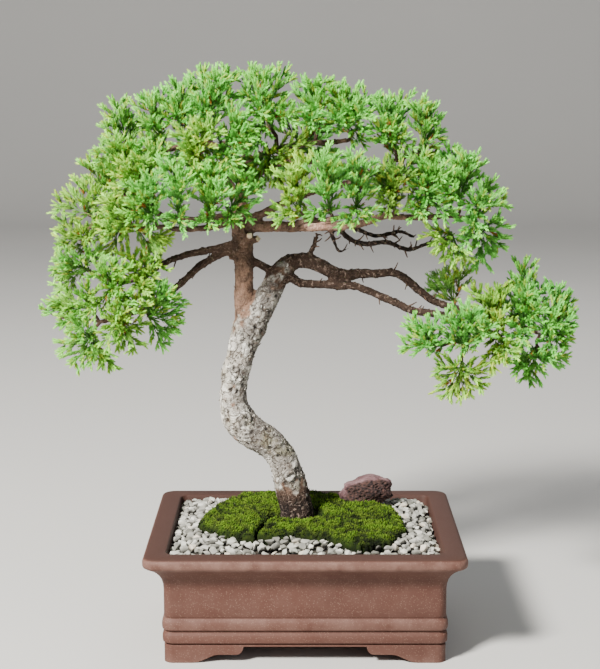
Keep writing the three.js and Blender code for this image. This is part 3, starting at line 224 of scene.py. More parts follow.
LIMBS = {
    "leader": [(-50, 0, 258, 7.5), (-50, 0, 280, 7.8), (-49.5, 0, 302, 7.8), (-50, 0, 322, 8.4),
               (-51, 0, 339, 9), (-52, 0, 354, 6.2), (-49, 1, 374, 5), (-47, 0, 394, 4.2),
               (-50, 0, 414, 3.4), (-53, 2, 428, 2.4)],
    "left_high": [(-51, -1, 337, 4.2), (-64, -6, 345, 3.6), (-77, -12, 344, 3.2),
                  (-93, -16, 344, 2.9), (-109, -16, 345, 2.7), (-127, -14, 355, 2.5),
                  (-144, -14, 363, 2.4), (-161, -8, 353, 2.2), (-171, -4, 338, 2)],
    "left_low": [(-56, -2, 323, 3.8), (-75, -6, 319, 3.4), (-95, -8, 315, 3.1),
                 (-114, -9, 308, 2.8), (-133, -9, 296, 2.6), (-151, -8, 293, 2.4),
                 (-167, -6, 297, 2)],
    "left_lower": [(-56, -1, 321, 4), (-82, 0, 307, 3.5), (-96, -2, 295, 3.2),
                   (-113, -5, 281, 3), (-129, -8, 272, 2.7), (-148, -10, 265, 2.5),
                   (-166, -10, 260, 2)],
    "crown_left": [(-50, 0, 378, 3.6), (-60, -8, 394, 3.2), (-75, -14, 404, 2.8),
                   (-92, -16, 404, 2.5), (-111, -18, 399, 2.2), (-129, -16, 399, 2)],
    "crown_right": [(-47, 0, 386, 3.6), (-34, -4, 395, 3.2), (-15, -6, 401, 3),
                    (4, -6, 404, 2.7), (23, -6, 405, 2.3), (37, -6, 407, 2)],
    "front_left": [(-52, -6, 343, 4), (-59, -22, 343, 3.4), (-76, -36, 340, 3),
                   (-96, -40, 339, 2.6), (-117, -38, 341, 2.3), (-130, -33, 340, 2)],
    "top_right": [(-50, 0, 337, 5.6), (-35, -1, 337, 4.8), (-12, -2, 337, 4.6),
                  (20, -4, 338, 4.2), (35, -5, 339, 3.8), (49, -8, 341, 3.2), (63, -8, 346, 3),
                  (79, -8, 345, 2.8), (100, -6, 345, 2.6), (118, -4, 346, 2.4),
                  (134, -4, 343, 2)],
    "mid_front": [(-10, -4, 338, 3), (-1, -20, 343, 2.6), (16, -34, 346, 2.4),
                  (35, -36, 349, 2)],
    "up_right": [(-51, 0, 341, 4), (-35, 0, 347, 3.6), (-17, 0, 356, 3.2), (7, 2, 365, 2.9),
                 (31, 0, 371, 2.7), (52, -4, 379, 2.5), (66, -6, 388, 2.3), (84, -4, 394, 2),
                 (95, -2, 395, 1.8)],
    "dark_low": [(27, -2, 335, 2.6), (38, -2, 326, 2.6), (49, -4, 323, 2.5),
                 (65, -6, 325, 2.4), (83, -6, 319, 2.2), (99, -8, 324, 2), (113, -8, 327, 1.8)],
    "dark_high": [(36, -3, 338, 2.4), (57, 4, 329, 2.2), (77, 6, 332, 2), (89, 8, 327, 1.5)],
    "back_left": [(-52, 3, 360, 4.2), (-64, 16, 373, 3.4), (-79, 28, 384, 3),
                  (-101, 36, 385, 2.6), (-120, 38, 378, 2.2)],
    "back_right": [(-50, 3, 366, 4.2), (-35, 18, 380, 3.4), (-12, 32, 387, 3),
                   (21, 38, 385, 2.7), (54, 38, 378, 2.4), (75, 38, 375, 2)],
    "lower_right": [(-25, 0, 292, 6), (-16, 0, 296, 5), (-9, -1, 294, 4.2), (-2, -2, 291, 3.8),
                    (16, -2, 290, 3.6), (30, -3, 289, 3.8), (40, -3, 289, 3.4),
                    (51, -3, 285, 3.4), (65, -3, 279, 3.4), (76, -3, 274, 3.4),
                    (87, -4, 269, 3.4), (100, -5, 267, 3.2), (113, -6, 265, 3.2),
                    (124, -8, 259, 3), (128, -12, 248, 2.6), (129, -14, 236, 2.2)],
    "bridge": [(-48, 0, 312, 3.2), (-38, 0, 307, 3.4), (-30, 0, 303, 3.4), (-22, 0, 299, 3.4)],
    "front_stub": [(-49, -3, 329, 3.4), (-44, -12.5, 331, 3)],
    "side_stub": [(-47, -3, 325, 3.4), (-37, -8, 328, 3)],
    "left_stub": [(-52, -3, 311, 2.4), (-61.5, -5, 312.5, 1.8)],
    "up_twig": [(1, 0, 309, 3), (7, 0, 321, 2.2), (10, 1, 332, 1.6)],
    "hanging_twig": [(20, -3, 336, 2.2), (24, -3, 324, 1.7), (28, -3, 317, 1.4),
                     (36, -2, 320, 1)],
    "bare_twig": [(-163, -10, 260, 1.7), (-178, 0, 261, 1.6), (-200, 4, 262, 1.4),
                  (-211, 4, 267, 1.2)],
}

# Tubes of the wood, in millimetres; the last points of the trunk carry twigs like a limb
TRUNK_TAIL = 12
LIMB_STEP = 4.0
THICK_LIMB = 5.0
THICK_SIDES, THIN_SIDES = 20, 10
TWIG_RADII = (1.4, 2.2)
TWIG_TIP_RADIUS = 1.08
TWIG_BEND = 0.08
TWIG_SIDES = 6
TWIG_DARKNESS = 0.6

# Short dead twiglets: how many on each limb, their lengths, and their radii from root to tip
TWIGLETS = {"dark_low": 16, "dark_high": 9, "hanging_twig": 5, "lower_right": 12,
            "trunk": 22, "left_low": 6, "left_lower": 6, "leader": 6, "up_twig": 4}
TWIGLET_STEP = 3.0
TWIGLET_LENGTHS = (2.0, 8.0)
TWIGLET_RADII = (0.8, 0.6, 0.35)
TWIGLET_SIDES = 4

# Foliage sprays: name, colour, limb, hub, and plume tips with their reach, in millimetres
SPRAYS = [
    ("left_peak", "blue", "left_high", (-143, 0, 406),
     [(-150, 0, 437, 11), (-158, -16, 416, 9), (-134, 16, 422, 9)]),
    ("left_shoulder", "blue", "left_high", (-142, -24, 387),
     [(-162, -26, 402, 10), (-147, -38, 408, 9), (-126, -40, 402, 10)]),
    ("left_step", "blue", "left_high", (-161, -6, 367),
     [(-174, -6, 392, 10), (-143, -34, 383, 11), (-161, 22, 386, 10)]),
    ("left_tip", "yellow", "left_high", (-177, -4, 349),
     [(-199, 2, 357, 10), (-181, 4, 376, 10), (-158, -30, 367, 10)]),
    ("left_edge", "yellow", "left_high", (-179, 4, 327),
     [(-199, 20, 339, 10), (-200, 0, 323, 10), (-160, -26, 340, 10)]),
    ("left_edge_low", "blue", "left_low", (-179, -4, 304),
     [(-203, 2, 301, 10), (-196, -18, 315, 9), (-164, -26, 319, 10), (-198, 14, 285, 9)]),
    ("crown_a", "blue", "crown_left", (-114, -18, 410),
     [(-127, -20, 441, 11), (-113, -4, 443, 10), (-120, -46, 402, 10)]),
    ("crown_b", "blue", "crown_left", (-98, -4, 418),
     [(-103, 12, 450, 11), (-92, 26, 448, 10), (-101, -38, 429, 11)]),
    ("crown_c", "blue", "crown_left", (-76, -4, 425),
     [(-83, 16, 459, 11), (-68, -12, 456, 10), (-60, 8, 461, 9), (-81, -36, 432, 10)]),
    ("front_high_left", "yellow", "crown_left", (-82, -36, 400),
     [(-93, -56, 415, 11), (-71, -58, 420, 11), (-86, -70, 396, 10)]),
    ("front_high_mid", "blue", "crown_left", (-62, -32, 406),
     [(-52, -46, 432, 10), (-41, -52, 418, 9), (-60, -62, 393, 11)]),
    ("left_front_mid", "yellow", "left_high", (-126, -32, 374),
     [(-112, -58, 402, 10), (-139, -52, 392, 9), (-144, -50, 372, 10)]),
    ("front_row_a", "blue", "front_left", (-120, -46, 351),
     [(-131, -56, 377, 11), (-113, -74, 381, 11), (-137, -62, 355, 9)]),
    ("front_row_b", "blue", "front_left", (-98, -52, 351),
     [(-103, -66, 394, 12), (-91, -84, 381, 10)]),
    ("front_row_c", "blue", "front_left", (-75, -52, 351),
     [(-83, -66, 391, 12), (-68, -62, 388, 10), (-63, -82, 372, 9)]),
    ("front_row_d", "blue", "front_left", (-58, -42, 356),
     [(-50, -60, 387, 9), (-36, -56, 374, 9)]),
    ("left_mid", "yellow", "front_left", (-133, -28, 339),
     [(-153, -48, 364, 10), (-156, -50, 339, 9), (-107, -30, 331, 8), (-118, -24, 316, 9)]),
    ("inner_left", "yellow", "left_low", (-134, -10, 301),
     [(-114, -26, 312, 8), (-141, -34, 320, 9), (-127, -52, 294, 9)]),
    ("low_front", "blue", "left_low", (-155, -26, 289),
     [(-162, -48, 310, 10), (-144, -48, 310, 10), (-141, -58, 281, 10)]),
    ("low_edge", "blue", "left_lower", (-176, -6, 271),
     [(-199, 8, 281, 9), (-197, -8, 258, 9), (-170, -38, 291, 10), (-216, 2, 269, 6)]),
    ("low_bottom", "blue", "left_lower", (-173, -8, 247),
     [(-199, 6, 239, 9), (-178, -36, 260, 10), (-170, -8, 229, 9), (-155, -10, 220, 6)]),
    ("low_mid", "yellow", "left_lower", (-147, -22, 262),
     [(-157, -44, 252, 10), (-135, -34, 243, 9), (-145, -60, 275, 10)]),
    ("low_right", "blue", "left_lower", (-126, -16, 266),
     [(-122, -28, 296, 11), (-107, -36, 290, 8), (-100, -12, 280, 8), (-100, -14, 259, 9),
      (-115, -14, 241, 8)]),
    ("crown_top", "blue", "crown_right", (-31, 0, 428),
     [(-47, 18, 460, 10), (-34, -6, 461, 10), (-38, -42, 430, 10), (-17, 22, 460, 11),
      (-12, -42, 426, 10)]),
    ("crown_mid", "blue", "crown_right", (7, 0, 422),
     [(-2, 10, 450, 10), (13, -12, 453, 11), (5, -42, 424, 10), (11, 36, 435, 11)]),
    ("crown_right_top", "blue", "crown_right", (34, -4, 418),
     [(23, -12, 447, 10), (38, 20, 443, 10), (22, -42, 425, 10), (52, 6, 442, 11),
      (42, -38, 428, 10)]),
    ("crown_right_edge", "blue", "up_right", (68, -4, 406),
     [(61, -8, 438, 11), (79, 14, 438, 11), (58, -36, 417, 10), (79, -26, 408, 9)]),
    ("crown_far_right", "blue", "up_right", (95, 0, 403),
     [(89, -10, 436, 10), (101, 14, 430, 11), (107, -4, 410, 9)]),
    ("inner_dark", "olive", "crown_right", (-29, -16, 399),
     [(-46, -40, 380, 11), (-23, -40, 380, 11), (1, -38, 407, 10)]),
    ("mid_front_a", "yellow", "mid_front", (-4, -42, 353),
     [(-15, -56, 385, 10), (1, -48, 396, 10), (-15, -66, 353, 8)]),
    ("mid_front_b", "blue", "mid_front", (18, -48, 356),
     [(14, -68, 398, 12), (28, -58, 389, 9), (5, -68, 354, 9)]),
    ("mid_front_c", "blue", "mid_front", (40, -42, 357),
     [(36, -62, 397, 9), (48, -48, 393, 9), (52, -54, 352, 8), (30, -62, 347, 8)]),
    ("right_mid_a", "olive", "top_right", (71, -18, 361),
     [(55, -34, 385, 11), (75, -46, 389, 11), (64, -50, 358, 9)]),
    ("right_mid_b", "blue", "top_right", (96, -16, 364),
     [(90, -30, 397, 11), (105, -42, 384, 10), (85, -46, 351, 10)]),
    ("right_top", "blue", "top_right", (125, 0, 358),
     [(117, 10, 397, 10), (128, -12, 396, 10), (138, 20, 387, 10), (109, -42, 368, 10)]),
    ("right_edge", "blue", "top_right", (142, -2, 352),
     [(149, 10, 373, 9), (162, 0, 358, 8), (132, -36, 360, 10)]),
    ("right_low", "yellow", "dark_low", (117, -14, 334),
     [(98, -36, 336, 10), (109, -20, 315, 9), (125, -32, 312, 9)]),
    ("right_low_edge", "blue", "top_right", (141, -4, 335),
     [(158, -12, 345, 8), (159, 4, 321, 10), (139, -12, 306, 9)]),
    ("pad_olive", "olive", "trunk", (123, 12, 273),
     [(110, 18, 297, 10), (128, 6, 302, 10), (101, 14, 286, 7)]),
    ("pad_left", "blue", "lower_right", (104, -20, 243),
     [(83, -22, 266, 8), (79, -18, 241, 8), (100, -42, 263, 9)]),
    ("pad_front", "blue", "lower_right", (125, -34, 247),
     [(109, -46, 271, 10), (129, -52, 277, 10), (142, -58, 264, 10)]),
    ("pad_low", "yellow", "lower_right", (126, -14, 223),
     [(107, -14, 225, 9), (113, -12, 198, 8), (130, -8, 197, 8), (146, -24, 210, 8)]),
    ("pad_mid", "yellow", "trunk", (156, -12, 253),
     [(144, -16, 283, 9), (157, -13, 290, 10), (159, -54, 244, 10), (147, -40, 230, 9)]),
    ("pad_top", "blue", "trunk", (178, -2, 261),
     [(178, 2, 309, 10), (175, -30, 287, 9), (194, 10, 286, 10), (169, -46, 254, 10),
      (192, 36, 256, 10), (166, 32, 272, 10)]),
    ("pad_right", "blue", "trunk", (201, -2, 251),
     [(206, 4, 288, 10), (217, 20, 274, 9), (217, -6, 263, 9), (215, -8, 244, 9),
      (191, -38, 265, 10)]),
    ("pad_bottom", "blue", "trunk", (186, -10, 232),
     [(183, -10, 211, 9), (195, -36, 236, 9), (214, 4, 228, 8), (166, -38, 228, 9),
      (179, 22, 226, 9)]),
    ("back_left", "olive", "back_left", (-128, 40, 375),
     [(-162, 46, 389, 12), (-129, 50, 414, 12), (-139, 64, 344, 12), (-171, 42, 343, 11),
      (-167, 34, 307, 11)]),
    ("back_crown", "blue", "back_left", (-84, 46, 404),
     [(-98, 50, 434, 12), (-69, 60, 434, 12), (-93, 82, 380, 12), (-123, 78, 394, 12),
      (-65, 64, 373, 11)]),
    ("back_right", "blue", "back_right", (-4, 46, 399),
     [(-24, 54, 434, 12), (29, 52, 426, 12), (-21, 80, 375, 12), (11, 84, 402, 12),
      (35, 66, 373, 12)]),
    ("back_far", "olive", "back_right", (82, 40, 380),
     [(69, 46, 417, 12), (61, 72, 360, 12), (104, 50, 399, 12), (123, 46, 366, 12),
      (101, 68, 346, 12)]),
]

# Smaller plumes that close the sprays, each a tip with its reach, in millimetres
FILLING = {
    "crown_right_top": [(46, -30, 408, 10), (40, -18, 424, 9)],
    "right_mid_b": [(112, -44, 350, 10)],
    "right_edge": [(130, -42, 342, 10)],
    "right_low_edge": [(126, -34, 330, 9)],
    "pad_front": [(128, -50, 250, 11), (112, -44, 252, 9)],
    "pad_low": [(138, -34, 226, 10), (118, -36, 229, 9)],
    "pad_mid": [(134, -12, 290, 8), (152, -42, 268, 9)],
    "pad_top": [(184, -40, 274, 9)],
    "pad_right": [(194, -36, 246, 10), (205, -20, 262, 10)],
    "pad_left": [(92, -40, 246, 9)],
    "front_row_a": [(-112, -62, 350, 10), (-124, -60, 344, 9)],
    "front_row_b": [(-96, -70, 348, 10)],
    "front_row_c": [(-76, -72, 348, 10)],
    "front_row_d": [(-58, -66, 348, 9), (-42, -50, 352, 9)],
    "mid_front_a": [(-24, -52, 352, 8)],
    "low_front": [(-168, -46, 274, 10)],
    "low_edge": [(-184, -30, 260, 10), (-207, -4, 277, 6)],
    "low_mid": [(-132, -48, 284, 10), (-128, -36, 262, 9)],
    "low_bottom": [(-188, -16, 226, 9), (-166, -26, 236, 9)],
    "crown_top": [(-40, -48, 404, 10), (-50, 2, 446, 9)],
    "front_high_mid": [(-48, -58, 412, 10)],
    "crown_c": [(-57, -6, 444, 10)],
    "left_mid": [(-139, -46, 346, 9)],
}

# Shaded plumes that close the sprays from behind, each a tip with its reach, in millimetres
BACKING = {
    "pad_mid": [(130, 18, 240, 11)],
    "pad_bottom": [(174, 20, 258, 11)],
    "left_edge": [(-188, 30, 312, 11)],
    "inner_left": [(-120, 22, 328, 11)],
    "front_high_mid": [(-50, 2, 402, 11)],
}
BACKING_LIGHT = 0.42


# Helpers
def at_mm(x, y, z):
    """Place in metres of a point given in millimetres from the middle of the pot's underside."""
    return Vector((x * MM, y * MM, z * MM)) + POT_MIDDLE


def clamped(value):
    """A value kept between 0 and 1."""
    return min(1.0, max(0.0, value))


def ease(low, high, value):
    """Smooth step from 0 to 1 between two values."""
    share = clamped((value - low) / (high - low))
    return share * share * (3 - 2 * share)


def steps(place, end, step):
    """Places from a first one to an end, a step apart."""
    while place < end:
        yield place
        place += step


def srgb(red, green, blue):
    """Linear colour with full alpha from display values of 0 to 255."""
    return tuple((value / 255) ** 2.2 for value in (red, green, blue)) + (1.0,)


def darkened(colour, share):
    """Colour with a share of its light."""
    return tuple(share * value for value in colour[:3]) + (1.0,)


def mesh_of(bm, name):
    """Mesh of a finished bmesh."""
    mesh = bpy.data.meshes.new(name)
    bm.to_mesh(mesh)
    bm.free()
    return mesh


def only(kind, items):
    """Items of one kind, such as points, out of what a bmesh operator returns."""
    return [item for item in items if isinstance(item, kind)]


def point_values(bm, *names):
    """New layers of point values, which the materials read by these names."""
    return [bm.verts.layers.float.new(name) for name in names]


def search_tree(spots):
    """Tree that finds the nearest of some places."""
    tree = KDTree(len(spots))
    for index, spot in enumerate(spots):
        tree.insert(spot, index)
    tree.balance()
    return tree


def nearest_on_line(point, first, second):
    """Closest place on the line between two ends, and its share of the way."""
    share = clamped(intersect_point_line(point, first, second)[1])
    return first.lerp(second, share), share


def loose_object(bm, name):
    """A working object that is not a piece yet."""
    made = bpy.data.objects.new(name, mesh_of(bm, name))
    bpy.context.scene.collection.objects.link(made)
    return made


def discard(made):
    """Removes a working object and its mesh."""
    mesh = made.data
    bpy.data.objects.remove(made)
    bpy.data.meshes.remove(mesh)


def reopened(made):
    """Bmesh of a working object with its modifiers applied; the object itself is removed."""
    evaluated = made.evaluated_get(bpy.context.evaluated_depsgraph_get())
    mesh = bpy.data.meshes.new_from_object(evaluated)
    discard(made)
    bm = bmesh.new()
    bm.from_mesh(mesh)
    bpy.data.meshes.remove(mesh)
    return bm


def finish_piece(bm, name, material, nodes, smooth=True):
    """Makes the bmesh a piece of the object that stands for the named nodes."""
    for face in bm.faces:
        face.smooth = smooth
    piece = loose_object(bm, name)
    piece.data.materials.append(material)
    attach(piece, "root")
    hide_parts(*nodes)


def stamp(bm, template, matrix, values):
    """Adds a moved copy of a template mesh, with its point values set."""
    copy = template.copy()
    copy.transform(matrix)
    for layer, value in values:
        data = copy.attributes[layer].data
        data.foreach_set("value", [value] * len(data))
    bm.from_mesh(copy)
    bpy.data.meshes.remove(copy)


def aim(start, direction, roll, size):
    """Matrix that sets a template's +Z along a direction at a place."""
    turn = direction.to_track_quat("Z", "Y") @ Quaternion((0, 0, 1), roll)
    return Matrix.LocRotScale(start, turn, size)


def add_spike(bm, base, top, length, matrix=Matrix()):
    """Three-sided spike from its base up +Z, moved by a matrix."""
    bmesh.ops.create_cone(
        bm, cap_ends=True, segments=3, radius1=base, radius2=top, depth=length,
        matrix=matrix @ Matrix.Translation((0, 0, length / 2)),
    )


# Shader parts
def put(tree, value, socket):
    """Links an input to a socket, or sets it to a plain value."""
    if isinstance(value, bpy.types.NodeSocket):
        tree.links.new(value, socket)
    else:
        socket.default_value = value


def add(tree, kind, inputs, **settings):
    """New node with its settings made and its inputs linked or set."""
    node = tree.nodes.new(kind)
    for key, value in settings.items():
        setattr(node, key, value)
    for key, value in inputs.items():
        put(tree, value, node.inputs[key])
    return node


def new_material(name):
    """Material, its node tree and the object coordinates in it."""
    material = bpy.data.materials.new(name)
    material.use_nodes = True
    tree = material.node_tree
    return material, tree, add(tree, "ShaderNodeTexCoord", {}).outputs["Object"]


def finish_surface(tree, colour, roughness, gloss=0.5):
    """Colour, roughness and gloss of the material's surface."""
    shader = tree.nodes["Principled BSDF"]
    put(tree, colour, shader.inputs["Base Color"])
    put(tree, roughness, shader.inputs["Roughness"])
    put(tree, gloss, shader.inputs["Specular IOR Level"])


def bumped(tree, height, depth, strength=1.0):
    """Relief of the surface from a height, with its depth in millimetres."""
    inputs = {"Height": height, "Distance": depth * MM, "Strength": strength}
    relief = add(tree, "ShaderNodeBump", inputs)
    put(tree, relief.outputs["Normal"], tree.nodes["Principled BSDF"].inputs["Normal"])


def attribute(tree, name):
    """Point values of a piece by their name."""
    return add(tree, "ShaderNodeAttribute", {}, attribute_name=name).outputs["Fac"]


def spread(tree, value, low, high, top=1.0):
    """A value spread from 0 to a top between two of its levels."""
    inputs = {"Value": value, "From Min": low, "From Max": high, "To Max": top}
    return add(tree, "ShaderNodeMapRange", inputs).outputs["Result"]


def noise_mask(tree, place, scale, low, high, detail=4.0, roughness=0.55):
    """Noise at a place, spread from 0 to 1 between two of its levels."""
    inputs = {"Vector": place, "Scale": scale, "Detail": detail, "Roughness": roughness}
    return spread(tree, add(tree, "ShaderNodeTexNoise", inputs).outputs["Fac"], low, high)


def calculated(tree, operation, first, second, clamp=False):
    """Result of a math node on two sockets or numbers."""
    inputs = {0: first, 1: second}
    return add(tree, "ShaderNodeMath", inputs, operation=operation, use_clamp=clamp).outputs[0]


def times(tree, first, second, clamp=False):
    """Product of two sockets or numbers."""
    return calculated(tree, "MULTIPLY", first, second, clamp)


def mixed(tree, mask, first, second):
    """Colour between two colours or sockets by a mask."""
    inputs = {0: mask, 6: first, 7: second}
    return add(tree, "ShaderNodeMix", inputs, data_type="RGBA").outputs[2]


def layered(tree, colour, *layers):
    """Colour with further colours laid over it, each by its own mask."""
    for mask, over in layers:
        colour = mixed(tree, mask, colour, over)
    return colour


def speckle_group():
    """Shared fine grains of a mineral surface: a mask of grains and a height."""
    existing = bpy.data.node_groups.get("Mineral grains")
    if existing:
        return existing
    group = bpy.data.node_groups.new("Mineral grains", "ShaderNodeTree")
    group.interface.new_socket("Vector", in_out="INPUT", socket_type="NodeSocketVector")
    group.interface.new_socket("Scale", in_out="INPUT", socket_type="NodeSocketFloat")
    group.interface.new_socket("Grains", in_out="OUTPUT", socket_type="NodeSocketFloat")
    group.interface.new_socket("Height", in_out="OUTPUT", socket_type="NodeSocketFloat")
    start = add(group, "NodeGroupInput", {})
    place = {"Vector": start.outputs["Vector"], "Scale": start.outputs["Scale"]}
    cells = add(group, "ShaderNodeTexVoronoi", place)
    fine = add(group, "ShaderNodeTexNoise", {**place, "Detail": 6.0}).outputs["Fac"]
    patches = times(group, spread(group, cells.outputs["Distance"], 0.32, 0.1), fine)
    add(group, "NodeGroupOutput", {"Grains": patches, "Height": fine})
    return group


def grains(tree, place, scale):
    """Grain mask and height from the shared group."""
    inputs = {"Vector": place, "Scale": scale}
    node = add(tree, "ShaderNodeGroup", inputs, node_tree=speckle_group())
    return node.outputs["Grains"], node.outputs["Height"]


# Pot
def clay_material(settings):
    """Matt brown unglazed clay, paler and dusty where it is rubbed, with a painted highlight on the
    lip and painted shade on the rim's top and inside the wall.
    """
    material, tree, place = new_material("unglazed_clay")
    broad = noise_mask(tree, place, 14.0, 0.35, 0.68)
    cloud = noise_mask(tree, place, 60.0, 0.3, 0.75)
    specks, height = grains(tree, place, 650.0)
    wear_and_painted_light = attribute(tree, "wear_and_painted_light")
    body = layered(
        tree, tuple(settings.clay),
        (broad, darkened(settings.clay, 0.84)),
        (times(tree, cloud, 0.14), tuple(settings.dust)),
        (times(tree, specks, 0.75, True), srgb(140, 116, 102)),
        # Rubbed wear on the feet and bands, and a painted highlight on the lip
        (times(tree, times(tree, wear_and_painted_light, cloud), 0.7, True), tuple(settings.dust)),
        # Painted shade on the rim's top and inside the wall
        (times(tree, wear_and_painted_light, -1.0, True), darkened(settings.clay, 0.45)),
    )
    finish_surface(tree, body, 0.72, 0.35)
    bumped(tree, height, 0.25, 0.5)
    return material


def ring_points(inset, height, corner, half_x, half_y):
    """Points of a rounded rectangle at one height of the pot."""
    points = []
    for quarter in range(4):
        side_x = 1 if quarter in (0, 3) else -1
        side_y = 1 if quarter in (0, 1) else -1
        for step in range(CORNER_SEGMENTS + 1):
            angle = math.pi / 2 * (quarter + step / CORNER_SEGMENTS)
            x = side_x * (half_x - inset - corner) + corner * math.cos(angle)
            y = side_y * (half_y - inset - corner) + corner * math.sin(angle)
            points.append(at_mm(x, y, height))
    return points


def ring_block(rings, half_x, half_y, name):
    """Closed solid through rounded rectangles: a loop of edges extruded from ring to ring."""
    bm = bmesh.new()
    points = ring_points(*rings[0], half_x, half_y)
    made = bmesh.ops.create_circle(bm, cap_ends=False, radius=1.0, segments=len(points))
    for vert, point in zip(made["verts"], points):
        vert.co = point
    edges = bm.edges[:]
    for ring in rings[1:]:
        grown = bmesh.ops.extrude_edge_only(bm, edges=edges)["geom"]
        edges = only(BMEdge, grown)
        before = search_tree(points)
        points = ring_points(*ring, half_x, half_y)
        for vert in only(BMVert, grown):
            vert.co = points[before.find(vert.co)[1]]
    bmesh.ops.holes_fill(bm, edges=bm.edges, sides=0)
    bmesh.ops.recalc_face_normals(bm, faces=bm.faces)
    return loose_object(bm, name)


def arch_block(gap_half, foot_length, reach, turned, name):
    """Cloud-shaped cutter between two feet, through the whole foot ring."""
    scale = foot_length / LONG_FOOT
    side = [(gap_half + distance * scale, z) for distance, z in FOOT_ARCH]
    outline = side + [(-x, z) for x, z in reversed(side)]
    bm = bmesh.new()
    made = bmesh.ops.create_circle(bm, cap_ends=True, radius=1.0, segments=len(outline))
    for vert, (x, z) in zip(made["verts"], outline):
        vert.co = at_mm(x, -reach, z)
    grown = bmesh.ops.extrude_face_region(bm, geom=bm.faces[:])["geom"]
    bmesh.ops.translate(bm, verts=only(BMVert, grown), vec=(0, 2 * reach * MM, 0))
    if turned:
        turn = Matrix.Rotation(math.pi / 2, 3, "Z")
        bmesh.ops.rotate(bm, verts=bm.verts, cent=POT_MIDDLE, matrix=turn)
    bmesh.ops.recalc_face_normals(bm, faces=bm.faces)
    return loose_object(bm, name)


def pot_cutters(half_x, half_y):
    """Solids that leave the arches, the recess under the floor and the drain holes."""
    recess = POT_OUTSIDE[0][0] + FOOT_RING
    cutters = [
        arch_block(LONG_GAP_HALF, LONG_FOOT, half_y, False, "cut_across"),
        arch_block(SHORT_GAP_HALF, SHORT_FOOT, half_x, True, "cut_along"),
        ring_block([(recess, height, RECESS_CORNER) for height in (CUT_START, FLOOR_UNDERSIDE)],
                   half_x, half_y, "cut_recess"),
    ]
    for side in (-1, 1):
        bm = bmesh.new()
        bmesh.ops.create_cone(
            bm, cap_ends=True, segments=DRAIN_SIDES, radius1=DRAIN_RADIUS * MM,
            radius2=DRAIN_RADIUS * MM, depth=DRAIN_CUT_DEPTH * MM,
            matrix=Matrix.Translation(at_mm(side * DRAIN_X, 0, DRAIN_CUT_MIDDLE)),
        )
        cutters.append(loose_object(bm, "cut_drain"))
    return cutters


def clay_wear_and_painted_light(height, inset):
    """How rubbed the clay is, with a painted highlight on the lip; below 0, how much painted shade it
    has on the rim's top and inside the wall; at a height and a distance inside the rim.
    """
    if height > RIM_SHADED_FROM or (inset > WALL_THICK and height > LIP_FROM):
        return RIM_PAINTED_SHADE
    if height > LIP_FROM:
        return LIP_WEAR_AND_HIGHLIGHT
    low, high = WORN_BAND
    return BAND_WEAR if height < WORN_FOOT_TOP or low < height < high else 0.0


class PotSettings(bpy.types.PropertyGroup):
    """Size and colour of the pot."""

    length: bpy.props.FloatProperty(
        name="Length", description="Outer length of the rim", default=0.254, unit="LENGTH"
    )
    width: bpy.props.FloatProperty(
        name="Width", description="Outer width of the rim", default=0.203, unit="LENGTH"
    )
    clay: bpy.props.FloatVectorProperty(
        name="Clay", description="Colour of the clay", default=srgb(82, 52, 43), size=4,
        subtype="COLOR",
    )
    dust: bpy.props.FloatVectorProperty(
        name="Dust", description="Colour of worn and dusty clay", default=srgb(130, 102, 92),
        size=4, subtype="COLOR",
    )


class BONSAI_OT_pot(bpy.types.Operator):
    """Rectangular clay pot with a moulded lip, two bands and cloud-shaped feet"""

    bl_idname = "bonsai.pot"
    bl_label = "Pot"

    def execute(self, context):
        settings = context.scene.bonsai_pot
        half_x = settings.length / 2 / MM
        half_y = settings.width / 2 / MM
        pot = ring_block(POT_OUTSIDE + POT_INSIDE, half_x, half_y, "clay_pot")
        cutters = pot_cutters(half_x, half_y)
        for cutter in cutters:
            cut = pot.modifiers.new(cutter.name, "BOOLEAN")
            cut.operation = "DIFFERENCE"
            cut.solver = "EXACT"
            cut.object = cutter
        bm = reopened(pot)
        for cutter in cutters:
            discard(cutter)
        bmesh.ops.remove_doubles(bm, verts=bm.verts, dist=WELD * MM)
        bmesh.ops.recalc_face_normals(bm, faces=bm.faces)
        for edge in bm.edges:
            if len(edge.link_faces) == 2:
                edge.smooth = edge.calc_face_angle(0.0) < SHARP_ANGLE
        # Wear, painted highlight and painted shade of the clay, by height and inset
        (wear_and_painted_light,) = point_values(bm, "wear_and_painted_light")
        for vert in bm.verts:
            inset = min(half_x - abs(vert.co.x - POT_MIDDLE.x) / MM,
                        half_y - abs(vert.co.y - POT_MIDDLE.y) / MM)
            vert[wear_and_painted_light] = clay_wear_and_painted_light(vert.co.z / MM, inset)
        finish_piece(bm, "clay_pot", clay_material(settings), ["pot"])
        return {"FINISHED"}


# Ground: soil and mesh in the pot, gravel, moss and rock on it
class GroundSettings(bpy.types.PropertyGroup):
    """Size and colours of the gravel, moss and rock."""

    stone_size: bpy.props.FloatProperty(
        name="Stone size", description="Mean length of a crushed stone", default=0.0082,
        unit="LENGTH",
    )
    stone: bpy.props.FloatVectorProperty(
        name="Stone", description="Colour of the crushed stone", default=srgb(150, 148, 136),
        size=4, subtype="COLOR",
    )
    moss: bpy.props.FloatVectorProperty(
        name="Moss", description="Colour of lit moss", default=srgb(68, 108, 12), size=4,
        subtype="COLOR",
    )
    rock: bpy.props.FloatVectorProperty(
        name="Rock", description="Colour of the lava rock's skin", default=srgb(122, 94, 96),
        size=4, subtype="COLOR",
    )


def edge_distance(x, y, outline):
    """Distance in millimetres from a point to the nearest edge of an outline."""
    point = Vector((x, y, 0))
    corners = [Vector((*corner, 0)) for corner in outline]
    return min(
        (point - nearest_on_line(point, first, second)[0]).length
        for first, second in zip(corners, corners[1:] + corners[:1])
    )


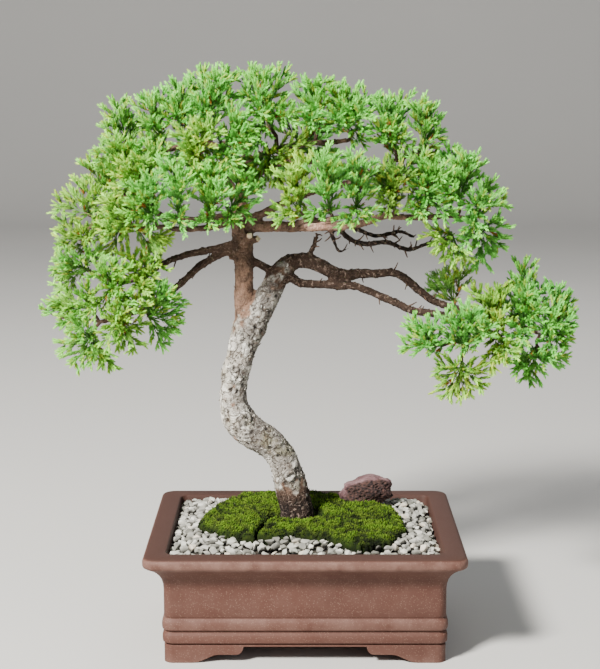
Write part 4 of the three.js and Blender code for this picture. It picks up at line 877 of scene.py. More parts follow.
def is_inside(x, y, outline):
    """Whether a point lies inside an outline."""
    inside = False
    for (ax, ay), (bx, by) in zip(outline, outline[1:] + outline[:1]):
        if (ay > y) != (by > y) and x < (bx - ax) * (y - ay) / (by - ay) + ax:
            inside = not inside
    return inside


def bed_height(x, y):
    """Height of the gravel: low towards the pot's wall, higher towards the moss."""
    inward = min(WALL_FACE[0] - abs(x), WALL_FACE[1] - abs(y))
    return BED_LOW + BED_RISE * clamped(inward / BED_FALL_WIDTH)


def stone_material(settings):
    """Pale grey crushed stone, each one a little different, with painted shade low down on each stone
    and a dark bed painted as the shade between them.
    """
    material, tree, place = new_material("crushed_stone")
    own = attribute(tree, "own")
    specks, height = grains(tree, place, 1100.0)
    patches = noise_mask(tree, place, 170.0, 0.3, 0.72)
    warm = calculated(tree, "GREATER_THAN", own, 0.93)
    bed = calculated(tree, "LESS_THAN", own, 0.0)
    body = layered(
        tree, srgb(78, 77, 71),
        (own, srgb(226, 224, 214)),
        (times(tree, patches, 0.6), tuple(settings.stone)),
        (times(tree, specks, 0.5, True), srgb(88, 86, 84)),
        (times(tree, warm, 0.35), srgb(188, 160, 122)),
        # Painted shade low down on each stone
        (attribute(tree, "low"), srgb(30, 27, 21)),
        # The bed: painted shade between the stones
        (bed, mixed(tree, patches, srgb(24, 20, 16), srgb(56, 50, 42))),
    )
    finish_surface(tree, body, 0.9)
    bumped(tree, height, 0.3, 0.7)
    return material


def stone_template(name, chance):
    """Angular stone of length one: the hull of a few scattered points, with painted shade underneath.
    """
    bm = bmesh.new()
    for _ in range(STONE_POINTS):
        way = Vector([chance.gauss(0, 1) for _ in range(3)]).normalized()
        way = Vector(value * half for value, half in zip(way, STONE_SHAPE))
        bm.verts.new(way * chance.uniform(0.86, 1.0))
    hull = bmesh.ops.convex_hull(bm, input=bm.verts)
    bmesh.ops.delete(bm, geom=only(BMVert, hull["geom_interior"]), context="VERTS")
    bmesh.ops.recalc_face_normals(bm, faces=bm.faces)
    _, low = point_values(bm, "own", "low")
    # Painted shade: darker towards the stone's underside
    for vert in bm.verts:
        vert[low] = clamped((0.04 - vert.co.z) * 6)
    return mesh_of(bm, name)


def gravel_bed():
    """Closed dark bed that shows between the stones, painted as the shade in their gaps."""
    bm = bmesh.new()
    own, _ = point_values(bm, "own", "low")
    bmesh.ops.create_grid(bm, x_segments=BED_STEPS[0], y_segments=BED_STEPS[1], size=1.0)
    for vert in bm.verts:
        x = vert.co.x * BED_HALF_LENGTH
        y = vert.co.y * BED_HALF_WIDTH
        relief = BED_RELIEF * noise.noise(Vector((x, y, 0)) / BED_RELIEF_SPAN)
        vert.co = at_mm(x, y, bed_height(x, y) - BED_SINK + relief)
    grown = bmesh.ops.extrude_face_region(bm, geom=bm.faces[:])["geom"]
    for vert in only(BMVert, grown):
        vert.co.z = (SOIL_TOP + BED_GAP) * MM
    # The whole bed takes the painted shade of the gaps between the stones
    for vert in bm.verts:
        vert[own] = BED_SHADE
    bmesh.ops.recalc_face_normals(bm, faces=bm.faces)
    return bm


def add_stone(bm, x, y, lift, size, templates, chance):
    """One stone on the bed, turned and tipped by chance and small beside the pot's wall."""
    room = min(BED_HALF_LENGTH - abs(x), BED_HALF_WIDTH - abs(y))
    scale = min(size * chance.uniform(*STONE_SIZES), 2 * room + EDGE_STONE)
    spot = at_mm(x, y, bed_height(x, y) + lift + chance.uniform(*STONE_LIFTS))
    turn = Quaternion((0, 0, 1), chance.uniform(0, math.tau))
    tip = Quaternion((1, 0, 0), chance.gauss(0, STONE_TIP))
    matrix = Matrix.LocRotScale(spot, turn @ tip, Vector((1, 1, 1)) * scale * MM)
    stamp(bm, chance.choice(templates), matrix, [("own", chance.random())])


class BONSAI_OT_gravel(bpy.types.Operator):
    """Bed of crushed stone round the moss"""

    bl_idname = "bonsai.gravel"
    bl_label = "Gravel"

    def execute(self, context):
        settings = context.scene.bonsai_ground
        chance = random.Random(GRAVEL_SEED)
        templates = [stone_template("stone_%d" % kind, chance) for kind in range(STONE_KINDS)]
        size = settings.stone_size / MM
        pitch = STONE_PITCH * size
        scatter = (-STONE_SCATTER, STONE_SCATTER)
        bm = gravel_bed()
        for lift, shift in STONE_LAYERS:
            left = -BED_HALF_LENGTH + FIRST_STONE + shift * pitch
            for row in steps(-BED_HALF_WIDTH + FIRST_STONE, BED_HALF_WIDTH - LAST_STONE, pitch):
                for column in steps(left, BED_HALF_LENGTH - LAST_STONE, pitch):
                    x = column + chance.uniform(*scatter) * pitch
                    y = row + chance.uniform(*scatter) * pitch
                    if is_inside(x, y, MOSS_EDGE) and edge_distance(x, y, MOSS_EDGE) > UNDER_MOSS:
                        continue
                    add_stone(bm, x, y, lift, size, templates, chance)
        finish_piece(bm, "gravel_bed", stone_material(settings), ["gravel"], smooth=False)
        return {"FINISHED"}


def moss_material(settings):
    """Soft moss: bright at the tips, with painted shade low among the tufts, in the seams and in the
    hollows between the cushions.
    """
    material, tree, place = new_material("moss")
    broad = noise_mask(tree, place, 70.0, 0.4, 0.6, 6.0)
    fine = noise_mask(tree, place, 420.0, 0.36, 0.66)
    leafy = layered(
        tree, tuple(settings.moss),
        (broad, srgb(22, 40, 4)),
        (times(tree, fine, 0.5), srgb(150, 178, 58)),
    )
    # Painted shade low among the tufts and on the mat under them
    body = mixed(tree, attribute(tree, "tip"), srgb(10, 16, 3), leafy)
    # Painted shade in the seams and in the hollows between the cushions
    body = mixed(tree, attribute(tree, "lit"), srgb(9, 14, 2), body)
    finish_surface(tree, body, 0.95, 0.2)
    return material


def cushions(x, y):
    """Broad cushions and small bumps of the moss at a place, about -1 to 1."""
    spot = Vector((x, y, 3.0))
    return noise.noise(spot / CUSHION_SPAN), noise.noise(spot / BUMP_SPAN)


def moss_height(x, y, outline):
    """Height of the moss in millimetres."""
    from_middle = math.hypot(x - TRUNK_FOOT_X, y * MOSS_NARROWING) / MOSS_REACH
    dome = MOSS_LOW + MOSS_DOME * max(0.0, 1 - from_middle)
    broad, small = cushions(x, y)
    relief = CUSHION_HEIGHT * broad + BUMP_HEIGHT * small
    edge = min(1.0, edge_distance(x, y, outline) / EDGE_ROUNDING)
    from_trunk = ease(*DIP_ROUND_TRUNK, math.hypot(x - TRUNK_FOOT_X, y))
    dip = DIP_DEPTH * (1 - from_trunk) * ease(*DIP_IN_FRONT, y)
    return dome + relief - dip - EDGE_DROP * (1 - edge) ** 2


def moss_light(x, y, outline):
    """How lit the moss is: dark at its seams and in the hollows between its cushions."""
    broad, small = cushions(x, y)
    seam = min(1.0, edge_distance(x, y, outline) / SEAM_SHADE_WIDTH)
    return seam * max(0.1, min(1.0, 0.82 + 1.5 * (broad + 0.7 * small)))


def outline_box(outline):
    """Lowest and highest x, then y, of an outline."""
    xs, ys = zip(*outline)
    return min(xs), max(xs), min(ys), max(ys)


def moss_mat(outline):
    """Closed cushion of moss inside an outline, down to the soil."""
    low_x, high_x, low_y, high_y = outline_box(outline)
    bm = bmesh.new()
    tip, lit = point_values(bm, "tip", "lit")
    bmesh.ops.create_grid(
        bm, x_segments=round((high_x - low_x) / MAT_PITCH),
        y_segments=round((high_y - low_y) / MAT_PITCH), size=0.5,
    )
    for vert in bm.verts:
        vert.co.x = vert.co.x * (high_x - low_x) + (low_x + high_x) / 2
        vert.co.y = vert.co.y * (high_y - low_y) + (low_y + high_y) / 2
    spare = [
        vert for vert in bm.verts
        if not is_inside(vert.co.x, vert.co.y, outline)
        or edge_distance(vert.co.x, vert.co.y, outline) < MAT_INSET
    ]
    bmesh.ops.delete(bm, geom=spare, context="VERTS")
    grown = bmesh.ops.extrude_face_region(bm, geom=bm.faces[:])["geom"]
    for vert in bm.verts:
        x, y = vert.co.x, vert.co.y
        vert[tip] = MAT_TIP_VALUE
        vert[lit] = moss_light(x, y, outline)
        vert.co = at_mm(x, y, moss_height(x, y, outline) - MAT_SINK)
    for vert in only(BMVert, grown):
        vert.co.z = (SOIL_TOP + MAT_GAP) * MM
        # Painted shade: the mat's sides and underside are darkest
        vert[tip] = 0.0
    bmesh.ops.recalc_face_normals(bm, faces=bm.faces)
    return bm


def moss_tuft():
    """Template: one upright leafy moss tip one unit tall, its base darkened with painted shade."""
    bm = bmesh.new()
    tip, _ = point_values(bm, "tip", "lit")
    add_spike(bm, 0.32, 0.0, 1.0)
    for vert in bm.verts:
        # Painted shade: the tuft's base is darker than its tip
        vert[tip] = 1.0 if vert.co.z > 0.5 else 0.25
    return mesh_of(bm, "moss_tuft")


def add_tufts(bm, tuft, outline, chance):
    """Upright tips all over a moss mat, shorter towards its edge."""
    low_x, high_x, low_y, high_y = outline_box(outline)
    for _ in range(round((high_x - low_x) * (high_y - low_y) * TUFTS_PER_AREA)):
        x = chance.uniform(low_x, high_x)
        y = chance.uniform(low_y, high_y)
        inward = edge_distance(x, y, outline)
        if not is_inside(x, y, outline) or inward < TUFT_INSET:
            continue
        lean = Vector((chance.gauss(0, TUFT_LEAN), chance.gauss(0, TUFT_LEAN), 1)).normalized()
        tall = chance.uniform(*TUFT_HEIGHTS) * (0.6 + 0.4 * min(1.0, inward / TUFT_FULL_AT))
        spot = at_mm(x, y, moss_height(x, y, outline) - TUFT_SINK)
        size = Vector((TUFT_WIDTH, TUFT_WIDTH, tall)) * MM
        matrix = aim(spot, lean, chance.uniform(0, 6), size)
        stamp(bm, tuft, matrix, [("lit", moss_light(x, y, outline))])


class BONSAI_OT_moss(bpy.types.Operator):
    """Three cushioned moss patches that meet in dark seams"""

    bl_idname = "bonsai.moss"
    bl_label = "Moss"

    def execute(self, context):
        material = moss_material(context.scene.bonsai_ground)
        tuft = moss_tuft()
        for order, (side, outline) in enumerate(MOSS.items()):
            bm = moss_mat(outline)
            add_tufts(bm, tuft, outline, random.Random(MOSS_SEED + order))
            finish_piece(bm, "moss_mat_" + side, material, ["moss_" + side])
        return {"FINISHED"}


def lava_material(settings):
    """Rough porous lava: pale dusty skin, dark brown broken face, and painted shade in its pits."""
    material, tree, place = new_material("lava")
    patches = noise_mask(tree, place, 90.0, 0.36, 0.64)
    crumbs = noise_mask(tree, place, 500.0, 0.4, 0.65)
    specks, height = grains(tree, place, 800.0)
    body = layered(
        tree, tuple(settings.rock),
        (patches, srgb(80, 54, 56)),
        (times(tree, specks, 0.6, True), srgb(186, 166, 162)),
        # Dark broken face, and painted shade in the pits
        (attribute(tree, "deep"), mixed(tree, crumbs, srgb(24, 15, 13), srgb(78, 54, 47))),
    )
    finish_surface(tree, body, 0.95)
    bumped(tree, height, 0.5, 0.9)
    return material


def pore(spot, width):
    """Depth from 0 to 1 of the nearest pore of a scattered field."""
    return max(0.0, 1 - noise.voronoi(spot)[0][0] / width)


def rock_relief(point):
    """Share of the rock's radius in a direction, and how deep its skin is broken there, which also
    sets the painted shade in its pits.
    """
    lumps = 0.1 * math.sin(4.1 * point.x + 1.3) * math.sin(3.7 * point.y + 0.4)
    lumps += 0.09 * math.sin(7.3 * point.z + 5.1 * point.x)
    rough = 0.05 * noise.noise(point * 5.0) + 0.025 * noise.noise(point * 11.0)
    pits = 0.13 * pore(point * 5.2 + Vector((3, 1, 0)), 0.42) + 0.05 * pore(point * 11.0, 0.4)
    pits *= 0.45 + 0.9 * clamped(0.4 - point.y * 1.1 - abs(point.x) * 0.3)
    broken = 0.5 - point.y - 0.45 * abs(point.x - 0.1) - 0.5 * point.z
    broken = ease(0.3, 0.6, broken + 0.35 * noise.noise(point * 2.6))
    pits += broken * (0.03 + 0.09 * pore(point * 19.0, 0.5))
    # The pits take painted shade as well as their depth
    return 0.985 + 0.7 * lumps + rough - pits, min(1.0, pits * 9 + 0.6 * broken)


class BONSAI_OT_rock(bpy.types.Operator):
    """Porous lava rock behind the moss"""

    bl_idname = "bonsai.rock"
    bl_label = "Lava rock"

    def execute(self, context):
        settings = context.scene.bonsai_ground
        bm = bmesh.new()
        bmesh.ops.create_icosphere(bm, subdivisions=ROCK_DIVISIONS, radius=1.0)
        (deep,) = point_values(bm, "deep")
        for vert in bm.verts:
            point = vert.co.normalized()
            radius, vert[deep] = rock_relief(point)
            boxy = Vector(math.copysign(abs(value) ** ROCK_BOXINESS, value) for value in point)
            boxy = boxy * ROCK_FULLNESS * radius
            vert.co = Vector(value * half for value, half in zip(boxy, ROCK_HALF))
        for axis, angle in ROCK_TURNS:
            bmesh.ops.rotate(bm, verts=bm.verts, matrix=Matrix.Rotation(angle, 3, axis))
        for vert in bm.verts:
            vert.co = at_mm(*(value + shift for value, shift in zip(vert.co, ROCK_PLACE)))
        finish_piece(bm, "lava_stone", lava_material(settings), ["lava_rock"])
        return {"FINISHED"}


def soil_material():
    """Dark loose soil with pale crumbs."""
    material, tree, place = new_material("potting_soil")
    crumbs, height = grains(tree, place, 420.0)
    patches = noise_mask(tree, place, 120.0, 0.35, 0.7)
    body = layered(
        tree, srgb(52, 38, 28),
        (patches, srgb(84, 64, 46)),
        (times(tree, crumbs, 0.5, True), srgb(150, 130, 104)),
    )
    finish_surface(tree, body, 1.0)
    bumped(tree, height, 1.0)
    return material


def drain_mesh_material():
    """Black plastic with a little dust."""
    material, tree, place = new_material("black_plastic_mesh")
    dust = noise_mask(tree, place, 300.0, 0.45, 0.75)
    finish_surface(tree, mixed(tree, dust, srgb(22, 23, 23), srgb(70, 66, 60)), 0.5)
    return material


class BONSAI_OT_soil(bpy.types.Operator):
    """Dark soil and the black mesh over the drain holes, which keep their own solids"""

    bl_idname = "bonsai.soil"
    bl_label = "Soil and drain mesh"

    def execute(self, context):
        soil = soil_material()
        mesh = drain_mesh_material()
        for node, material in (("soil", soil), ("drain_mesh_left", mesh), ("drain_mesh_right", mesh)):
            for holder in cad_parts[node].material_slots:
                holder.material = material
        return {"FINISHED"}


# Wood
class WoodSettings(bpy.types.PropertyGroup):
    """Fineness and colours of the bark."""

    fineness: bpy.props.FloatProperty(
        name="Fineness", description="Size of the smallest modelled bark form", default=0.0014,
        unit="LENGTH",
    )
    pale: bpy.props.FloatVectorProperty(
        name="Pale bark", description="Colour of the flaking grey bark", default=srgb(242, 238, 226),
        size=4, subtype="COLOR",
    )
    brown: bpy.props.FloatVectorProperty(
        name="Brown bark", description="Colour of the stringy brown bark", default=srgb(142, 108, 88),
        size=4, subtype="COLOR",
    )


# How dark the stringy bark of each limb is, and which stubs are sawn
LIMB_DARKNESS = {
    "leader": 0.05, "top_right": 0.12, "left_high": 0.6, "front_left": 0.6, "lower_right": 0.85,
    "dark_low": 1.0, "dark_high": 1.0, "hanging_twig": 1.0, "bridge": 0.8, "up_twig": 0.8,
    "left_low": 0.75, "left_lower": 0.75,
}
USUAL_DARKNESS = 0.5
CUT_STUBS = ("front_stub", "side_stub")

# Where the bark changes, from one height or side to another, in millimetres
FOOT_END = (108, 138)
PALE_END_X = (-28, -10)
PALE_END_Z = (240, 260)
LEADER_PALE_END = (252, 270)
PEELED = (0, 38)

# Knots: place and size in millimetres, then their raised ring, sunken eye and dark outline as
# shares of that size, with the ring's height and the eye's depth in millimetres
KNOTS = [(-34, -9, 253, 6.5), (-49, -12, 181, 5), (-55, -10, 214, 4.5), (-24, -10, 160, 5),
         (-41, -11, 232, 4.5), (-50, -8, 322, 5), (-27, -8, 291, 5), (-12, -12, 133, 4.5)]
RING_AT, RING_WIDTH, RING_HEIGHT = 0.75, 0.4, 2.1
EYE_WIDTH, EYE_DEPTH = 0.45, 1.0
OUTLINE_AT, OUTLINE_WIDTH = 1.2, 0.16

# Forms of the bark, in millimetres
FULL_RELIEF_RADIUS = 9.0
WARP_SPAN, WARP_REACH = 6.0, 3.0
PLATE_SPAN, PLATE_HEIGHT = 8.5, 0.55
CREASE_SPAN, CREASE_DEPTH = 9.0, 0.7
PIT_SPAN, PIT_DEPTH = 6.0, 0.9
LUMP_SPAN, LUMP_HEIGHT = 12.0, 0.8
KNOB_SPAN, SMALL_KNOB_SPAN = 4.2, 2.0
FIBRE_HEIGHT = 0.5
SKIN_SINK = 0.25
SAWN_DEPTH = 0.9
SAWN_MARGIN = 1.0
# Painted shade on the bark: the middle and edge of a patch under the bend, and the heights where the
# top darkens, in millimetres
SHADED_PATCH_X, SHADED_PATCH_Z = -33, 160
SHADED_PATCH_EDGE = (26, 6)
SHADED_TOP = (232, 258)

# Loose plates: how many, from which height and radius of the wood, then lengths and widths in
# millimetres, lift in radians and how much they turn out of the fibres' way
FLAKES = 2300
FLAKES_FROM = 90.0
THINNEST_FLAKED = 1.8
FLAKE_THICK = 0.45
PALE_FLAKE = ((1.6, 4.2), (1.2, 2.6), 0.3, 1.2)
FOOT_STRIP = ((4.0, 9.0), (1.0, 2.0), 0.13, 0.25)
LIMB_CHIP = ((1.4, 3.6), (0.7, 1.4), 0.2, 0.25)
BARK_VALUES = ("pale", "dark", "crack_and_hollow_shade", "peeled", "cut", "tone_and_shade")


def bark_shares(name, spot):
    """Pale, dark and peeled shares of the bark at a place of a limb, in millimetres."""
    if name == "trunk":
        above_foot = ease(*FOOT_END, spot.z)
        far = ease(*PALE_END_X, spot.x) * ease(*PALE_END_Z, spot.z)
        return above_foot * (1 - far), max(1 - above_foot, 0.85 * far), 0.0
    darkness = LIMB_DARKNESS.get(name, USUAL_DARKNESS)
    if name == "leader":
        return 1 - ease(*LEADER_PALE_END, spot.z), darkness, 0.0
    peeled = name == "top_right" and PEELED[0] < spot.x < PEELED[1]
    return 0.0, darkness, float(peeled)


def radius_at(path, index, share):
    """Radius of a path at a share of the way from one of its points to the next."""
    return path[index][3] + (path[index + 1][3] - path[index][3]) * share


def smooth_path(path, step):
    """Points of a smooth curve through a path, as places in millimetres with radii."""
    spots = [Vector(point[:3]) for point in path]
    made = []
    for index, (first, second) in enumerate(zip(spots, spots[1:])):
        leaving = (second - spots[max(0, index - 1)]) * 0.5
        arriving = (spots[min(len(spots) - 1, index + 2)] - first) * 0.5
        count = max(1, round((second - first).length / step))
        for part in range(count):
            share = part / count
            spot = (2 * share**3 - 3 * share**2 + 1) * first
            spot += (share**3 - 2 * share**2 + share) * leaving
            spot += (-2 * share**3 + 3 * share**2) * second
            spot += (share**3 - share**2) * arriving
            made.append((spot, radius_at(path, index, share)))
    made.append((spots[-1], path[-1][3]))
    return made


def ways_along(points):
    """Direction of a path at each of its places."""
    spots = [spot for spot, _ in points]
    before = spots[:1] + spots
    after = spots[1:] + spots[-1:]
    return [(last - first).normalized() for first, last in zip(before, after)]


def add_tube(bm, points, sides):
    """Closed tube through places with radii: a circle extruded from place to place."""
    ways = ways_along(points)
    spot, radius = points[0]
    place = Matrix.LocRotScale(spot, ways[0].to_track_quat("Z", "Y"), None)
    made = bmesh.ops.create_circle(bm, cap_ends=True, radius=radius, segments=sides, matrix=place)
    region = list({face for vert in made["verts"] for face in vert.link_faces})
    for index in range(1, len(points)):
        grown = bmesh.ops.extrude_face_region(bm, geom=region)["geom"]
        region = only(BMFace, grown)
        previous, reach = points[index - 1]
        spot, radius = points[index]
        bend = ways[index - 1].rotation_difference(ways[index])
        change = (
            Matrix.Translation(spot) @ bend.to_matrix().to_4x4()
            @ Matrix.Scale(radius / reach, 4) @ Matrix.Translation(-previous)
        )
        bmesh.ops.transform(bm, matrix=change, verts=only(BMVert, grown))


def carrier(limb):
    """Path of the limb that carries a twig; of the trunk it is only the far end."""
    return TRUNK[-TRUNK_TAIL:] if limb == "trunk" else LIMBS[limb]


def nearest_on(path, point):
    """Closest place of a path and its radius there, in millimetres."""
    found = []
    for index, (first, second) in enumerate(zip(path, path[1:])):
        spot, share = nearest_on_line(point, Vector(first[:3]), Vector(second[:3]))
        found.append(((spot - point).length, spot, radius_at(path, index, share)))
    return min(found, key=lambda row: row[0])[1:]


def twig_path(limb, hub):
    """Twig from a limb to the hub of a spray, bent to one side and back."""
    end = Vector(hub)
    start, radius = nearest_on(carrier(limb), end)
    thin, thick = TWIG_RADII
    root = min(thick, max(thin, radius * 0.6))
    way = end - start
    side = Vector((0.3, 1.0, 0.2)).cross(way).normalized() * way.length * TWIG_BEND
    return [
        (start, root), (start.lerp(end, 0.35) + side, root * 0.94),
        (start.lerp(end, 0.7) - side * 0.4, root * 0.8), (end, TWIG_TIP_RADIUS),
    ]


def bark_material(settings):
    """Bark: pale flaking plates with pits on the trunk, dark stringy bark on the limbs, with painted
    shade on the trunk's right side, top and bend, and dark cracks and hollows that also carry painted
    shade.
    """
    material, tree, place = new_material("juniper_bark")
    pale, dark, crack_and_hollow_shade, peeled, cut, tone_and_shade = (attribute(tree, name) for name in BARK_VALUES)
    wobble = add(tree, "ShaderNodeTexNoise", {"Vector": place, "Scale": 160.0, "Detail": 6.0})
    shift = {0: wobble.outputs["Color"], 1: (0.012, 0.012, 0.012), 2: place}
    warped = add(tree, "ShaderNodeVectorMath", shift, operation="MULTIPLY_ADD").outputs[0]
    plates = {"Vector": warped, "Scale": 120.0}
    cells = add(tree, "ShaderNodeTexVoronoi", plates, feature="DISTANCE_TO_EDGE")
    cracks = spread(tree, cells.outputs["Distance"], 0.09, 0.0)
    spots = add(tree, "ShaderNodeTexVoronoi", {"Vector": warped, "Scale": 260.0})
    holes = spread(tree, spots.outputs["Distance"], 0.4, 0.24)
    some = noise_mask(tree, place, 75.0, 0.42, 0.54, 2.0)
    lichen = noise_mask(tree, warped, 70.0, 0.49, 0.55, 8.0, 0.65)
    flakes = noise_mask(tree, warped, 150.0, 0.4, 0.6, 8.0, 0.65)
    chips = noise_mask(tree, warped, 330.0, 0.55, 0.63, 6.0, 0.7)
    fine = noise_mask(tree, place, 700.0, 0.3, 0.72, 6.0, 0.7)
    moss = noise_mask(tree, place, 38.0, 0.56, 0.66, 5.0)
    pitted = times(tree, holes, calculated(tree, "SUBTRACT", 1.0, some, True))
    grey = layered(
        tree, srgb(72, 60, 49),
        # Lighter grey by random plates, less where painted shade falls; the pale lichen follows it
        # and is thinner in the painted shade
        (tone_and_shade, srgb(184, 175, 160)),
        (times(tree, times(tree, tone_and_shade, 1.3, True), lichen), tuple(settings.pale)),
        (times(tree, flakes, 0.6), srgb(82, 68, 56)),
        (times(tree, fine, 0.3), srgb(252, 250, 244)),
        (times(tree, moss, 0.4), srgb(112, 110, 66)),
        # Dark cracks and pits, partly painted shade in these hollows
        (times(tree, cracks, some), srgb(62, 52, 44)),
        (times(tree, pitted, 0.85), srgb(50, 41, 35)),
    )
    brown = layered(
        tree, tuple(settings.brown),
        (flakes, srgb(70, 48, 38)),
        (times(tree, fine, 0.45), srgb(172, 144, 124)),
    )
    # Darkest bark, on the foot and the dark limbs
    darkest_bark = layered(
        tree, srgb(24, 17, 14),
        (flakes, srgb(48, 36, 30)),
        (times(tree, chips, 0.75), srgb(158, 136, 122)),
    )
    body = layered(
        tree, brown,
        (dark, darkest_bark),
        (pale, grey),
        (peeled, mixed(tree, flakes, srgb(236, 192, 170), srgb(172, 126, 106))),
        # Dark splits, and painted shade in creases, pits and sunken knot eyes
        (crack_and_hollow_shade, srgb(26, 19, 16)),
        (cut, mixed(tree, fine, srgb(252, 214, 166), srgb(255, 242, 216))),
    )
    finish_surface(tree, body, 0.9, 0.3)
    sunk = times(tree, calculated(tree, "MAXIMUM", cracks, pitted), -1.0)
    height = calculated(tree, "ADD", sunk, times(tree, flakes, 0.7))
    bumped(tree, calculated(tree, "ADD", height, fine), 0.6, 0.9)
    return material


def bark_flake(sides, chance):
    """Template: one thin irregular plate of bark, one unit long, with the bark's point values."""
    bm = bmesh.new()
    point_values(bm, *BARK_VALUES)
    made = bmesh.ops.create_circle(bm, cap_ends=True, radius=0.5, segments=sides)
    for vert in made["verts"]:
        vert.co *= chance.uniform(0.75, 1.1)
    grown = bmesh.ops.extrude_face_region(bm, geom=bm.faces[:])["geom"]
    bmesh.ops.translate(bm, verts=only(BMVert, grown), vec=(0, 0, 1))
    bmesh.ops.recalc_face_normals(bm, faces=bm.faces)
    return mesh_of(bm, "bark_flake")


def to_metres(bm):
    """Turns the faces outwards and puts a shape in millimetres at its place in metres."""
    bmesh.ops.recalc_face_normals(bm, faces=bm.faces)
    bmesh.ops.scale(bm, vec=(MM, MM, MM), verts=bm.verts)
    bmesh.ops.translate(bm, vec=POT_MIDDLE, verts=bm.verts)


def fused(bm, fineness):
    """The crossing tubes of a shape as one smoothed skin of even faces."""
    working = loose_object(bm, "wood_working")
    remesh = working.modifiers.new("skin", "REMESH")
    remesh.mode = "VOXEL"
    remesh.voxel_size = fineness
    skin = reopened(working)
    bmesh.ops.smooth_vert(
        skin, verts=skin.verts, factor=0.5, use_axis_x=True, use_axis_y=True, use_axis_z=True
    )
    skin.normal_update()
    return skin


def add_twiglets(bm, chance):
    """Short dead twiglets on the bare limbs."""
    for name, count in TWIGLETS.items():
        points = smooth_path(carrier(name), TWIGLET_STEP)
        for _ in range(count):
            index = chance.randrange(1, len(points) - 1)
            spot, radius = points[index]
            way = (points[index + 1][0] - spot).normalized()
            out = Vector([chance.gauss(0, 1) for _ in range(3)])
            out = (out - way * out.dot(way)).normalized()
            length = chance.uniform(*TWIGLET_LENGTHS) + radius
            bend = (out + way * chance.uniform(0.1, 0.9)).normalized()
            middle = spot + bend * length * 0.6
            tip = middle + (bend + Vector((0, 0, chance.uniform(-0.6, 0.6)))) * length * 0.4
            add_tube(bm, list(zip((spot, middle, tip), TWIGLET_RADII)), TWIGLET_SIDES)


def knot_relief(place):
    """How far the knots swell at a place, and how near it is to a knot's outline."""
    swell = 0.0
    outline = 0.0
    for x, y, z, size in KNOTS:
        off = (place - Vector((x, y, z))).length / size
        outline = max(outline, 1 - abs(off - OUTLINE_AT) / OUTLINE_WIDTH)
        ring = max(0.0, 1 - abs(off - RING_AT) / RING_WIDTH)
        swell += ring * RING_HEIGHT - max(0.0, 1 - off / EYE_WIDTH) * EYE_DEPTH
    return swell, outline


def bark_relief(place, normal, sample, shares):
    """How far the bark stands out at a place, in millimetres, and its point values there."""
    spot, way, radius = sample[:3]
    pale, dark, peel = shares
    across = place - spot
    flat = across - way * across.dot(way)
    along = way.dot(place)
    thick = min(1.0, radius / FULL_RELIEF_RADIUS)
    warp = Vector(
        noise.noise(place / WARP_SPAN + Vector(shift))
        for shift in ((0, 0, 0), (9, 0, 0), (0, 9, 0))
    )
    plate = noise.noise(noise.voronoi((place + warp * WARP_REACH) / PLATE_SPAN)[1][0] * 5.3)
    ridge = abs(noise.noise((flat * 1.3 + way * along * 0.7 + warp * 4) / CREASE_SPAN))
    crease = max(0.0, 1 - ridge / 0.08) * ease(-0.1, 0.15, noise.noise(place / 17.0))
    gaps, centres = noise.voronoi(place / PIT_SPAN)
    pit = ease(0.36, 0.2, gaps[0]) if noise.noise(centres[0] * 9.7) > -0.08 else 0.0
    fibre = noise.noise(flat * 0.95 + way * along * 0.09)
    knobs = noise.noise(place / KNOB_SPAN) + 0.6 * noise.noise(place / SMALL_KNOB_SPAN)
    swell, outline = knot_relief(place)
    plates = PLATE_HEIGHT * plate - CREASE_DEPTH * crease - PIT_DEPTH * pit
    pushed = pale * plates * thick
    pushed += noise.noise(place / LUMP_SPAN) * LUMP_HEIGHT * thick + swell * thick
    stringy = FIBRE_HEIGHT * fibre + knobs * (0.35 + 0.3 * (1 - thick))
    pushed += (1 - pale) * (1 - 0.6 * peel) * stringy
    edge = pale + 0.8 * noise.noise(place / 5.0)
    grain = 0.25 * noise.noise(place / 3.0) + 0.45 * noise.noise(place / 14.0)
    from_patch = math.hypot(place.x - SHADED_PATCH_X, place.z - SHADED_PATCH_Z)
    # Painted shade: darker on the right-facing side, towards the top and in a patch under the bend
    shaded = 0.4 * normal.x + 0.45 * ease(*SHADED_TOP, place.z)
    shaded += 0.6 * ease(*SHADED_PATCH_EDGE, from_patch)
    # Painted shade and dark marks in the hollows: creases, pits, sunken knot eyes, the knots'
    # outlines and the splits between fibres
    hollow = max(crease, pit, outline, 0.8 if swell < -0.3 else 0.0)
    split = max(0.0, -fibre - 0.22) * 1.6 + max(0.0, -knobs - 0.55)
    values = {
        "pale": ease(0.3, 0.7, edge) if pale > 0.04 else 0.0,
        "dark": dark,
        "peeled": peel * ease(-0.5, 0.1, fibre),
        "tone_and_shade": 0.62 + 0.9 * plate + grain - shaded,
        "crack_and_hollow_shade": min(0.9, pale * 0.9 * hollow + (1 - pale) * (1 - peel) * split),
    }
    return pushed - SKIN_SINK, values


def cut_ends():
    """End, radius and direction of each sawn stub."""
    ends = []
    for name in CUT_STUBS:
        first, last = Vector(LIMBS[name][0][:3]), Vector(LIMBS[name][-1][:3])
        ends.append((last, LIMBS[name][-1][3], (last - first).normalized()))
    return ends


